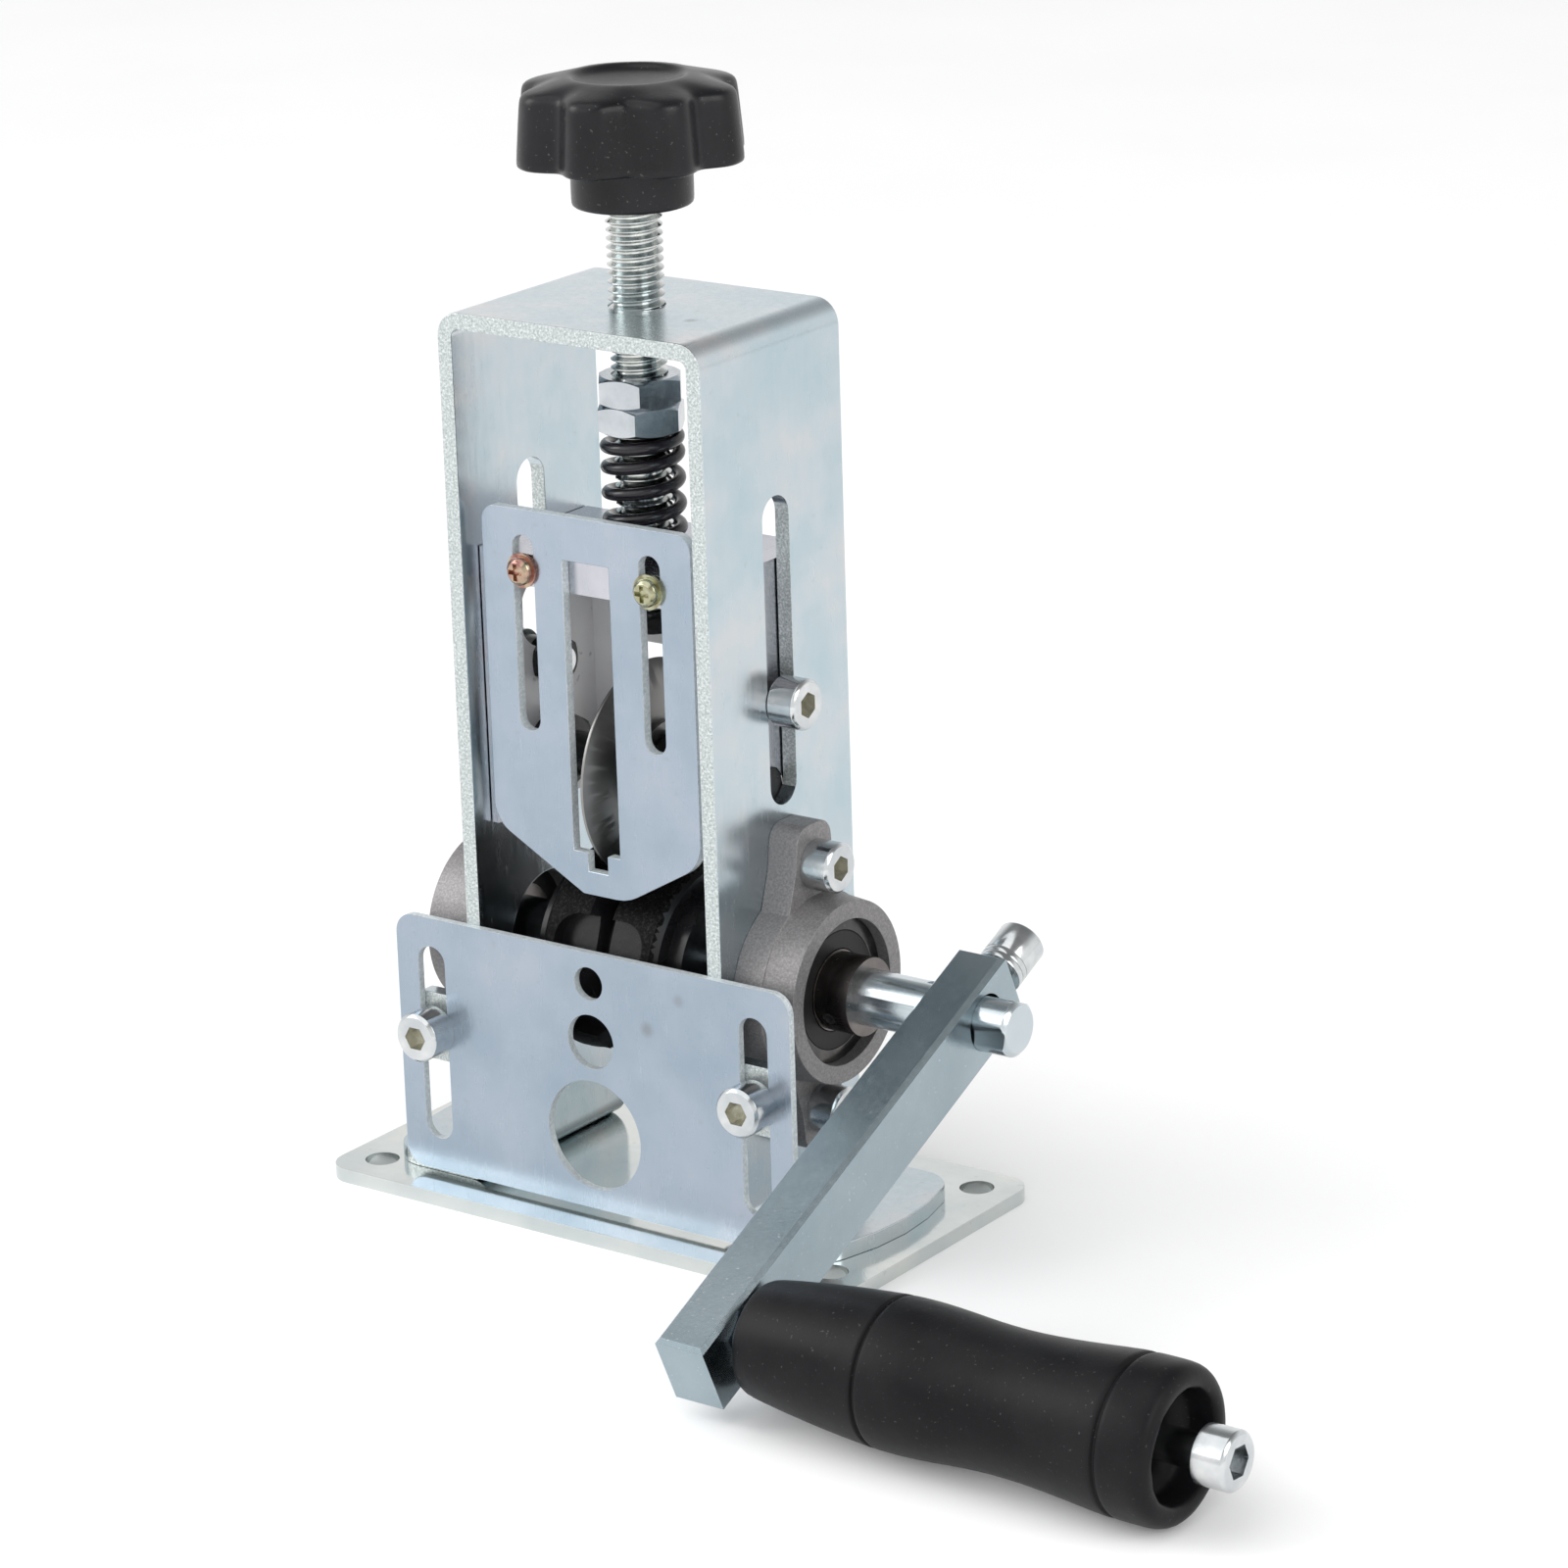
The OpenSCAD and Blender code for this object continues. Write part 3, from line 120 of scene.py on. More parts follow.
def noise(tree, point, scale, detail=3.0, rough=0.55):
    node = tree.nodes.new("ShaderNodeTexNoise")
    node.inputs["Scale"].default_value = scale
    node.inputs["Detail"].default_value = detail
    node.inputs["Roughness"].default_value = rough
    tree.links.new(point, node.inputs["Vector"])
    return node.outputs["Fac"]


def ramp(tree, source, stops):
    node = tree.nodes.new("ShaderNodeValToRGB")
    line = node.color_ramp
    while len(line.elements) < len(stops):
        line.elements.new(0.5)
    for element, (place, colour) in zip(line.elements, stops):
        element.position = place
        element.color = (*colour, 1)
    tree.links.new(source, node.inputs["Fac"])
    return node.outputs["Color"]


def spread(tree, source, low, high, fromLow=0.3, fromHigh=0.7):
    node = tree.nodes.new("ShaderNodeMapRange")
    node.inputs["From Min"].default_value = fromLow
    node.inputs["From Max"].default_value = fromHigh
    node.inputs["To Min"].default_value = low
    node.inputs["To Max"].default_value = high
    tree.links.new(source, node.inputs["Value"])
    return node.outputs["Result"]


def blendColours(tree, mask, under, over):
    node = tree.nodes.new("ShaderNodeMix")
    node.data_type = "RGBA"
    tree.links.new(mask, node.inputs["Factor"])
    tree.links.new(under, node.inputs[mixSockets["under"]])
    node.inputs[mixSockets["over"]].default_value = (*over, 1)
    return node.outputs[mixSockets["result"]]


def closeness(tree, spot, radius, power, fadeFrom=0.3):
    # the full power near a spot of the part, fading to nothing at the radius
    place = tree.nodes.new("ShaderNodeTexCoord")
    apart = tree.nodes.new("ShaderNodeVectorMath")
    apart.operation = "DISTANCE"
    apart.inputs[1].default_value = [v * mm for v in spot]
    tree.links.new(place.outputs["Object"], apart.inputs[0])
    return spread(tree, apart.outputs["Value"], power, 0.0, radius * fadeFrom * mm, radius * mm)


def bump(tree, source, distance, strength=0.5, under=None):
    node = tree.nodes.new("ShaderNodeBump")
    node.inputs["Strength"].default_value = strength
    node.inputs["Distance"].default_value = distance
    tree.links.new(source, node.inputs["Height"])
    if under is not None:
        tree.links.new(under, node.inputs["Normal"])
    return node.outputs["Normal"]


# Finishes: three makers, their usual values, and what each finish changes
cloudStops = (0.32, 0.5, 0.68)
speckStops = (0.34, 0.5, 0.66)
blackStops = (0.35, 0.65)


def platedMetal(name, f):
    # cloudy plating with faint brushing, thin scratches, dull or pale pits and a few marks
    material, tree, shader = startMaterial(name)
    point = objectPoint(tree)
    cloud = noise(tree, point, f["cloudScale"], detail=4.0, rough=0.6)
    tint = ramp(tree, cloud, list(zip(cloudStops, f["tints"])))
    brush = noise(tree, objectPoint(tree, f["brush"]), f["brushScale"], detail=5.0, rough=0.7)
    scratch = spread(tree, brush, 0.0, f["scratch"], fromLow=0.63, fromHigh=0.72)
    tint = blendColours(tree, scratch, tint, f["scratchTint"])
    pitNoise = noise(tree, point, f["pitScale"], detail=2.0, rough=0.5)
    pit = spread(tree, pitNoise, 0.0, f["pits"], fromLow=0.68, fromHigh=0.75)
    tint = blendColours(tree, pit, tint, f["pitTint"])
    for spot, radius, power in f["marks"]:
        tint = blendColours(tree, closeness(tree, spot, radius, power), tint, f["markTint"])
    tree.links.new(tint, shader.inputs["Base Color"])
    shader.inputs["Metallic"].default_value = f["metallic"]
    tree.links.new(spread(tree, brush, f["roughLow"], f["roughHigh"]), shader.inputs["Roughness"])
    grain = bump(tree, noise(tree, point, f["grainScale"], detail=2.0), f["grainDepth"])
    tree.links.new(bump(tree, brush, f["brushDepth"], under=grain), shader.inputs["Normal"])
    return material


def speckledMetal(name, f):
    # sheared, cast or knurled faces: light and dark specks on a rough ground
    material, tree, shader = startMaterial(name)
    point = objectPoint(tree)
    speck = noise(tree, point, f["speckScale"], detail=4.0, rough=0.75)
    tint = ramp(tree, speck, list(zip(speckStops, f["tints"])))
    tree.links.new(tint, shader.inputs["Base Color"])
    shader.inputs["Metallic"].default_value = f["metallic"]
    shader.inputs["Specular IOR Level"].default_value = f["specular"]
    tree.links.new(spread(tree, speck, f["roughHigh"], f["roughLow"]), shader.inputs["Roughness"])
    lump = bump(tree, noise(tree, point, f["lumpScale"]), f["lumpDepth"], strength=0.7)
    tree.links.new(bump(tree, speck, f["depth"], strength=0.8, under=lump), shader.inputs["Normal"])
    return material


def darkFinish(name, f):
    # blackened steel, rubber and plastic: soft sheen, fine grain and pale dust
    material, tree, shader = startMaterial(name)
    point = objectPoint(tree)
    cloud = noise(tree, point, f["cloudScale"], detail=4.0)
    tint = ramp(tree, cloud, list(zip(blackStops, (f["dark"], f["light"]))))
    dustNoise = noise(tree, point, f["dustScale"], detail=2.0, rough=0.6)
    dust = spread(tree, dustNoise, 0.0, f["dust"], fromLow=0.67, fromHigh=0.74)
    tint = blendColours(tree, dust, tint, f["dustTint"])
    tree.links.new(tint, shader.inputs["Base Color"])
    shader.inputs["Specular IOR Level"].default_value = f["specular"]
    tree.links.new(spread(tree, cloud, f["roughLow"], f["roughHigh"]), shader.inputs["Roughness"])
    grain = bump(tree, noise(tree, point, f["grainScale"]), f["depth"])
    wear = noise(tree, point, f["wearScale"], detail=5.0, rough=0.6)
    tree.links.new(bump(tree, wear, f["wearDepth"], under=grain), shader.inputs["Normal"])
    return material


def plating(tints, **changes):
    look = {
        "tints": tints, "metallic": 1.0, "cloudScale": 45, "brush": (1, 1, 0.1), "brushScale": 900,
        "roughLow": 0.16, "roughHigh": 0.25, "scratch": 0.15, "scratchTint": (0.75, 0.80, 0.82),
        "pitScale": 500, "pits": 0.2, "pitTint": (0.30, 0.32, 0.33), "marks": [],
        "markTint": (0.24, 0.26, 0.28), "grainScale": 2500, "grainDepth": 0.00001,
        "brushDepth": 0.000005,
    }
    look.update(changes)
    return look


def specks(tints, **changes):
    look = {
        "tints": tints, "speckScale": 2400, "metallic": 0.5, "specular": 0.5, "roughLow": 0.3,
        "roughHigh": 0.5, "depth": 0.00005, "lumpScale": 400, "lumpDepth": 0.0002,
    }
    look.update(changes)
    return look


def black(dark, light, **changes):
    look = {
        "dark": dark, "light": light, "cloudScale": 90, "dustScale": 1500, "dust": 0.1,
        "dustTint": (0.10, 0.10, 0.10), "specular": 0.3, "roughLow": 0.35, "roughHigh": 0.45,
        "grainScale": 2200, "depth": 0.00002, "wearScale": 120, "wearDepth": 0.0002,
    }
    look.update(changes)
    return look


finishLooks = {
    # zinc on sheets, bars and screws
    "zincSheet": (platedMetal, plating(
        [(0.45, 0.55, 0.59), (0.515, 0.585, 0.625), (0.60, 0.61, 0.62)], roughLow=0.19, roughHigh=0.29,
        cloudScale=60, scratch=0.1, marks=[((15.4, -7.0, 163.0), 1.6, 0.7)])),
    "basePlating": (platedMetal, plating(
        [(0.54, 0.58, 0.58), (0.61, 0.645, 0.635), (0.68, 0.69, 0.66)], roughLow=0.10, roughHigh=0.17,
        brush=(0.1, 1, 1))),
    "zincPlate": (platedMetal, plating(
        [(0.305, 0.37, 0.44), (0.345, 0.405, 0.475), (0.395, 0.44, 0.51)], roughLow=0.2, roughHigh=0.3,
        brush=(1, 1, 0.12), cloudScale=40, scratch=0.1,
        marks=[((12.6, -23.2, 40.0), 1.8, 0.7), ((19.7, -23.2, 46.6), 1.5, 0.5)])),
    "brightZinc": (platedMetal, plating(
        [(0.50, 0.53, 0.55), (0.59, 0.61, 0.62), (0.70, 0.71, 0.71)], brush=(1, 1, 1), cloudScale=150,
        scratch=0, pits=0, roughLow=0.14, roughHigh=0.2)),
    "socketZinc": (platedMetal, plating(
        [(0.46, 0.45, 0.38), (0.56, 0.55, 0.47), (0.68, 0.67, 0.60)], brush=(1, 1, 1), cloudScale=700,
        metallic=0.8, roughHigh=0.24)),
    "threadZinc": (platedMetal, plating(
        [(0.42, 0.44, 0.43), (0.51, 0.53, 0.52), (0.62, 0.63, 0.61)], brush=(1, 1, 1), cloudScale=400,
        roughLow=0.12, roughHigh=0.2)),
    "nutZinc": (platedMetal, plating(
        [(0.42, 0.45, 0.47), (0.48, 0.51, 0.54), (0.54, 0.56, 0.58)], brush=(1, 1, 1), cloudScale=260,
        roughHigh=0.24)),
    "copperZinc": (platedMetal, plating(
        [(0.24, 0.11, 0.10), (0.42, 0.25, 0.20), (0.46, 0.41, 0.28)], brush=(1, 1, 1), cloudScale=450,
        roughHigh=0.24, scratch=0, pits=0)),
    "yellowZinc": (platedMetal, plating(
        [(0.22, 0.20, 0.12), (0.38, 0.37, 0.24), (0.46, 0.48, 0.36)], brush=(1, 1, 1), cloudScale=450,
        roughHigh=0.24, scratch=0, pits=0)),
    "shaftZinc": (platedMetal, plating(
        [(0.48, 0.55, 0.58), (0.55, 0.61, 0.64), (0.62, 0.67, 0.70)], brush=(0.04, 1, 1), brushScale=1200,
        roughLow=0.15, roughHigh=0.24)),
    "armZinc": (platedMetal, plating(
        [(0.31, 0.38, 0.415), (0.345, 0.415, 0.45), (0.385, 0.45, 0.485)], brush=(1, 0.6, 0.7),
        roughLow=0.2, roughHigh=0.27, scratch=0.1, pitScale=1700, pits=0.7, pitTint=(0.62, 0.70, 0.74),
        grainScale=1500, grainDepth=0.000015, brushDepth=0.000001)),
    # bare and darkened steel, and bronze; the carriage's inner faces take painted light
    "brushedSteel": (platedMetal, plating(
        [(0.42, 0.42, 0.47), (0.48, 0.485, 0.53), (0.55, 0.55, 0.59)], roughLow=0.2, roughHigh=0.3,
        brush=(1, 1, 0.05), brushScale=1200, brushDepth=0.00001)),
    # carriage inner faces: the same steel painted near white and almost matt, painted light standing in for
    # their bright lit look
    "innerSteelPaintedLight": (platedMetal, plating(
        [(0.86, 0.86, 0.87), (0.92, 0.92, 0.93), (0.96, 0.96, 0.96)], roughLow=0.3, roughHigh=0.4,
        metallic=0.05, pits=0.5, scratch=0)),
    "cutterSteel": (platedMetal, plating(
        [(0.22, 0.215, 0.215), (0.26, 0.255, 0.25), (0.30, 0.295, 0.29)], brush=(1, 1, 1), brushScale=1500,
        roughLow=0.38, roughHigh=0.42, pits=0, scratch=0)),
    "bronze": (platedMetal, plating(
        [(0.45, 0.28, 0.12), (0.54, 0.36, 0.18), (0.62, 0.44, 0.24)], roughLow=0.3, roughHigh=0.4)),
    "ringSteel": (platedMetal, plating(
        [(0.055, 0.052, 0.052), (0.078, 0.075, 0.075), (0.11, 0.105, 0.10)], brush=(1, 1, 1),
        cloudScale=200, scratch=0)),
    "collarSteel": (platedMetal, plating(
        [(0.13, 0.12, 0.115), (0.165, 0.15, 0.145), (0.21, 0.195, 0.185)], brush=(1, 1, 1), roughLow=0.2,
        roughHigh=0.28, cloudScale=160, scratch=0, pitTint=(0.05, 0.05, 0.05))),
    # rough faces
    "shearedEdge": (speckledMetal, specks(
        [(0.28, 0.32, 0.32), (0.47, 0.51, 0.51), (0.74, 0.77, 0.77)], speckScale=2300, metallic=0.7,
        depth=0.00007, lumpScale=700, lumpDepth=0.00007)),
    "cutEdge": (speckledMetal, specks(
        [(0.42, 0.47, 0.49), (0.54, 0.59, 0.61), (0.70, 0.74, 0.76)], speckScale=1800, metallic=0.25,
        roughHigh=0.45, depth=0.00003, lumpDepth=0.00003)),
    "castGrey": (speckledMetal, specks(
        [(0.155, 0.15, 0.15), (0.205, 0.198, 0.20), (0.27, 0.262, 0.265)], roughLow=0.4, lumpScale=220)),
    "roughLand": (speckledMetal, specks(
        [(0.002, 0.002, 0.002), (0.004, 0.004, 0.004), (0.02, 0.02, 0.02)], speckScale=2000,
        metallic=0.2, specular=0.05, roughLow=0.35, depth=0.0001)),
    "insertZinc": (speckledMetal, specks(
        [(0.3, 0.3, 0.29), (0.42, 0.42, 0.41), (0.55, 0.55, 0.54)], speckScale=1100, metallic=0.8,
        roughHigh=0.45, depth=0.00003, lumpScale=200, lumpDepth=0.00005)),
    # blackened steel, rubber and plastic
    "rollerBlack": (darkFinish, black(
        (0.005, 0.005, 0.006), (0.011, 0.011, 0.012), roughLow=0.2, roughHigh=0.32)),
    "blackSteel": (darkFinish, black(
        (0.008, 0.008, 0.009), (0.02, 0.02, 0.021), specular=0.4, roughLow=0.22, roughHigh=0.34)),
    "springBlack": (darkFinish, black(
        (0.006, 0.005, 0.007), (0.012, 0.010, 0.013), specular=0.45, roughLow=0.16, roughHigh=0.28)),
    "sealBlack": (darkFinish, black(
        (0.007, 0.007, 0.007), (0.012, 0.012, 0.012), specular=0.25, roughLow=0.36, roughHigh=0.46)),
    "gripRubber": (darkFinish, black(
        (0.006, 0.006, 0.007), (0.010, 0.010, 0.011), specular=0.11, dust=0.35)),
    "knobPlastic": (darkFinish, black(
        (0.007, 0.007, 0.008), (0.011, 0.011, 0.013), specular=0.24, roughLow=0.26, roughHigh=0.34,
        dust=0.6)),
}
finishes = {name: maker(name, look) for name, (maker, look) in finishLooks.items()}
print("finishes made:", len(finishes))

# Records of which body each node has
bodies = frame["record"]["behaviour"]["bodies"]
bodyOf = {node: body for body, members in bodies.items() for node in members}


def finishPiece(name, bm, node, materials, angle=35, weighted=False):
    # smooth faces, sharp edges, one object that rides and stands for its node
    for face in bm.faces:
        face.smooth = True
    for edge in bm.edges:
        edge.smooth = edge.calc_face_angle(0) < math.radians(angle)
    mesh = bpy.data.meshes.new(name)
    bm.to_mesh(mesh)
    bm.free()
    piece = bpy.data.objects.new(name, mesh)
    bpy.context.scene.collection.objects.link(piece)
    for material in materials:
        mesh.materials.append(finishes[material])
    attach(piece, bodyOf[node])
    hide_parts(node)
    if weighted:
        flat = piece.modifiers.new("flatFaces", "WEIGHTED_NORMAL")
        flat.keep_sharp = True
    return piece


# Mesh helpers
cadWeld = 0.002 * mm
spunWeld = 0.0005 * mm
flatAngle = math.radians(0.5)


def mergedCopy(node):
    # a CAD node's loose triangles, joined and flattened into whole faces
    bm = bmesh.new()
    bm.from_mesh(nodes[node].data)
    bmesh.ops.remove_doubles(bm, verts=bm.verts, dist=cadWeld)
    bmesh.ops.dissolve_limit(bm, angle_limit=flatAngle, verts=bm.verts, edges=bm.edges)
    return bm


def closeUp(bm):
    bmesh.ops.remove_doubles(bm, verts=bm.verts, dist=spunWeld)
    bmesh.ops.recalc_face_normals(bm, faces=bm.faces)


def fillHoles(bm, edges):
    bmesh.ops.holes_fill(bm, edges=[e for e in edges if e.is_boundary], sides=0)


def bevelSharp(bm, width, segments=2, sharpAngle=30):
    sharp = [e for e in bm.edges
             if len(e.link_faces) == 2 and e.calc_face_angle(0) > math.radians(sharpAngle)]
    bmesh.ops.bevel(bm, geom=sharp, offset=width, offset_type="OFFSET", affect="EDGES",
                    segments=segments, profile=0.5, material=-1, clamp_overlap=True)


def smoothSkin(piece):
    smooth = piece.modifiers.new("smooth", "SUBSURF")
    smooth.levels = smooth.render_levels = 1


# Which faces of a node take its second material
squareTo = 0.9  # a normal's least share along the axis it faces
turnedFrom = 0.5  # a normal's greatest share along the axis it turns away from
socketReach = 2.6 * mm
socketRim = 0.05 * mm
landDepth = 0.4 * mm
leastInward = 1e-6  # metres


def islands(bm):
    # the faces of each separate solid
    left = set(bm.faces)
    while left:
        found = {left.pop()}
        grow = list(found)
        while grow:
            near = {f for e in grow.pop().edges for f in e.link_faces} - found
            found |= near
            grow += near
        left -= found
        yield found


def socketFaces(bm, axis):
    # faces close around a screw's own axis that look inward, and the socket's floor
    inside = []
    across = [i for i in range(3) if i != axis]
    for faces in islands(bm):
        points = [v.co for f in faces for v in f.verts]
        low = [min(p[i] for p in points) for i in range(3)]
        high = [max(p[i] for p in points) for i in range(3)]
        middle = Vector([(low[i] + high[i]) / 2 for i in across])
        for face in faces:
            if any((Vector([v.co[i] for i in across]) - middle).length > socketReach for v in face.verts):
                continue
            spot = face.calc_center_median()
            aside = Vector([spot[i] for i in across]) - middle
            outward = Vector([face.normal[i] for i in across]).dot(aside)
            atEnd = min(spot[axis] - low[axis], high[axis] - spot[axis]) < socketRim
            if outward < -leastInward or (abs(face.normal[axis]) > squareTo and not atEnd):
                inside.append(face)
    return inside


def facesAlongY(face):
    return abs(face.normal.y) > squareTo


def facesAcrossY(face):
    return abs(face.normal.y) < turnedFrom


def carriageInside(face):
    # the legs' and the rear plate's inner faces, which get the painted light of near-white steel
    spot = face.calc_center_median()
    legInside = abs(face.normal.x) > squareTo and face.normal.x * spot.x < 0
    return legInside or (face.normal.y < -squareTo and spot.y > shaftY)


def onLand(face):
    # the roller's outer surface between its pockets
    spot = face.calc_center_median()
    return math.hypot(spot.y - shaftY, spot.z - shaftZ) > rollerRadius - landDepth


# Dressed copies of the CAD nodes: materials, second material where a face asks for it, bevel in mm
looks = {
    "base_plate": {"materials": ["basePlating"], "bevel": 0.25},
    "frame": {"materials": ["zincSheet", "shearedEdge"], "second": facesAlongY, "bevel": 0.2},
    "base_screws": {"materials": ["brightZinc"], "bevel": 0.1},
    "feed_plate": {"materials": ["zincPlate", "cutEdge"], "second": facesAcrossY, "bevel": 0.3},
    "feed_screws": {"materials": ["brightZinc", "socketZinc"], "socketAlong": 1, "bevel": 0.2},
    "guard_plate": {"materials": ["zincPlate", "cutEdge"], "second": facesAcrossY, "bevel": 0.3},
    "guard_screw_left": {"materials": ["copperZinc"], "smoothTo": 50},
    "guard_screw_right": {"materials": ["yellowZinc"], "smoothTo": 50},
    # the carriage's inner faces take the painted-light near-white steel
    "carriage": {"materials": ["brushedSteel", "innerSteelPaintedLight"], "second": carriageInside, "bevel": 0.4,
                 "segments": 3},
    "guide_screws": {"materials": ["brightZinc", "socketZinc"], "socketAlong": 0, "bevel": 0.2},
    "guide_bushes": {"materials": ["blackSteel"], "bevel": 0.15},
    "guide_nuts": {"materials": ["blackSteel"], "bevel": 0.12},
    "wheel_axle": {"materials": ["blackSteel"], "bevel": 0.3},
    "axle_nuts": {"materials": ["blackSteel"], "bevel": 0.15},
    "cutter_wheel": {"materials": ["cutterSteel"], "bevel": 0.06},
    "wheel_bush": {"materials": ["bronze"], "bevel": 0.1},
    "drive_shaft": {"materials": ["shaftZinc"], "bevel": 0.15},
    "drive_roller": {"materials": ["rollerBlack", "roughLand"], "second": onLand, "bevel": 0.25},
    "roller_grub_screw": {"materials": ["blackSteel"], "bevel": 0.1},
    "bearing_housing_left": {"materials": ["castGrey"], "bevel": 0.5, "segments": 3},
    "bearing_housing_right": {"materials": ["castGrey"], "bevel": 0.5, "segments": 3},
    "bearing_outer_rings": {"materials": ["ringSteel"], "bevel": 0.25},
    "bearing_inner_rings": {"materials": ["collarSteel"], "bevel": 0.25},
    "bearing_seals": {"materials": ["sealBlack"], "bevel": 0.15},
    "bearing_grub_screws": {"materials": ["blackSteel"], "bevel": 0.1},
    "bearing_screws": {"materials": ["brightZinc", "socketZinc"], "socketAlong": 0, "bevel": 0.2},
    "crank_arm": {"materials": ["armZinc"], "bevel": 0.25},
    "crank_washers": {"materials": ["brightZinc"], "bevel": 0.15},
    "handle_bolt": {"materials": ["brightZinc", "socketZinc"], "socketAlong": 0, "bevel": 0.2},
    "handle_nut": {"materials": ["nutZinc"], "bevel": 0.15},
    "jam_nuts": {"materials": ["nutZinc"], "bevel": 0.15},
    "retaining_nut": {"materials": ["blackSteel"], "bevel": 0.15},
    "knob_insert": {"materials": ["insertZinc"], "bevel": 0.2},
}


def dress(node, look):
    bm = mergedCopy(node)
    if "second" in look:
        for face in bm.faces:
            face.material_index = 1 if look["second"](face) else 0
    if "socketAlong" in look:
        for face in socketFaces(bm, look["socketAlong"]):
            face.material_index = 1
    if "bevel" in look:
        bevelSharp(bm, look["bevel"] * mm, look.get("segments", 2))
    finishPiece(node + "_dressed", bm, node, look["materials"], look.get("smoothTo", 35), weighted=True)


for node, look in looks.items():
    dress(node, look)
# the balls lie hidden in their bearings, so their own mesh stays
nodes["bearing_balls"].data.materials.clear()
nodes["bearing_balls"].data.materials.append(finishes["ringSteel"])
print("CAD nodes dressed:", len(looks))

# Screw threads, in pitches: depth, where root and crest lie, and what is spun to be cut off
threadForm = {"depth": 0.61, "rootEnd": 0.2, "crestStart": 0.54, "crestEnd": 0.66, "spareTurns": 3,
              "startBelow": 1.5}
planeGap = 1e-7  # metres


def addThread(bm, start, end, radius, pitch, steps=32):
    # one zigzag flank is spun a full turn with a rise of one pitch, then cut at both ends
    root = radius - threadForm["depth"] * pitch
    length = (end - start).length
    part = bmesh.new()
    zigzag = [(0.0, root), (threadForm["rootEnd"], root), (threadForm["crestStart"], radius),
              (threadForm["crestEnd"], radius)]
    turns = int(length / pitch) + threadForm["spareTurns"]
    rows = [part.verts.new((r, 0, (turn + share - threadForm["startBelow"]) * pitch))
            for turn in range(turns) for share, r in zigzag]
    for below, above in zip(rows, rows[1:]):
        part.edges.new((below, above))
    bmesh.ops.spin(part, geom=part.verts[:] + part.edges[:], cent=(0, 0, 0), axis=(0, 0, 1),
                   dvec=(0, 0, pitch / steps), angle=math.tau, steps=steps)
    bmesh.ops.remove_doubles(part, verts=part.verts, dist=cadWeld)
    for height, way in ((0, -1), (length, 1)):
        bmesh.ops.bisect_plane(part, geom=part.verts[:] + part.edges[:] + part.faces[:],
                               plane_co=(0, 0, height), plane_no=(0, 0, way), clear_outer=True)
        fillHoles(part, [e for e in part.edges if all(abs(v.co.z - height) < planeGap for v in e.verts)])
    bmesh.ops.recalc_face_normals(part, faces=part.faces)
    aim = (end - start).to_track_quat("Z", "Y").to_matrix().to_4x4()
    bmesh.ops.transform(part, matrix=Matrix.Translation(start) @ aim, verts=part.verts)
    spare = bpy.data.meshes.new("threadSpare")
    part.to_mesh(spare)
    part.free()
    bm.from_mesh(spare)
    bpy.data.meshes.remove(spare)


# Adjusting screw with its real thread
adjustingThread = {"pitch": 1.5, "smoothTo": 50}


def addAdjustingScrew(s):
    bm = bmesh.new()
    radius = (screwHigh.x - screwLow.x) / 2
    foot = Vector((0, screwY, screwLow.z))
    top = Vector((0, screwY, screwHigh.z))
    addThread(bm, foot, top, radius, s["pitch"] * mm)
    finishPiece("adjusting_screw_thread", bm, "adjusting_screw", ["threadZinc"], s["smoothTo"])


addAdjustingScrew(adjustingThread)

# Clamp screw of the crank: its head from the frame, its shank threaded
clampThread = {"pitch": 0.8, "steps": 24, "headLength": 6.3, "overlap": 0.05, "bevel": 0.2, "smoothTo": 50}


def addClampScrew(s):
    # along the arm, pointing from its head behind the shaft towards the handle
    along = Vector((0, -math.cos(crankDrop), -math.sin(crankDrop)))
    low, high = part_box("crank_clamp_screw")
    middle = Vector(((low.x + high.x) / 2, shaftY, shaftZ))
    bm = mergedCopy("crank_clamp_screw")
    reach = [(v.co - middle).dot(along) for v in bm.verts]
    neck = min(reach) + s["headLength"] * mm
    tip = max(bm.verts, key=lambda v: (v.co - middle).dot(along))
    offAxis = tip.co - middle
    shankRadius = (offAxis - along * offAxis.dot(along)).length
    bmesh.ops.bisect_plane(bm, geom=bm.verts[:] + bm.edges[:] + bm.faces[:], clear_outer=True,
                           plane_co=middle + along * (neck + s["overlap"] * mm), plane_no=along)
    fillHoles(bm, bm.edges)
    bevelSharp(bm, s["bevel"] * mm)
    addThread(bm, middle + along * neck, middle + along * max(reach), shankRadius, s["pitch"] * mm,
              s["steps"])
    finishPiece("crank_clamp_screw_thread", bm, "crank_clamp_screw", ["brightZinc"], s["smoothTo"])


addClampScrew(clampThread)
print("threads cut")

# Spring: a smooth wire with closed ends and straight tips
coil = {
    "wire": 2.2, "radius": 7.4, "turns": 4.84, "closedPitch": 2.65, "closedTurns": 0.94,
    "easeTurns": 0.12, "tipWires": 2, "topAngle": 60, "sides": 20, "stepsPerTurn": 48, "smoothTo": 60,
    "squashTo": 0.73,
}


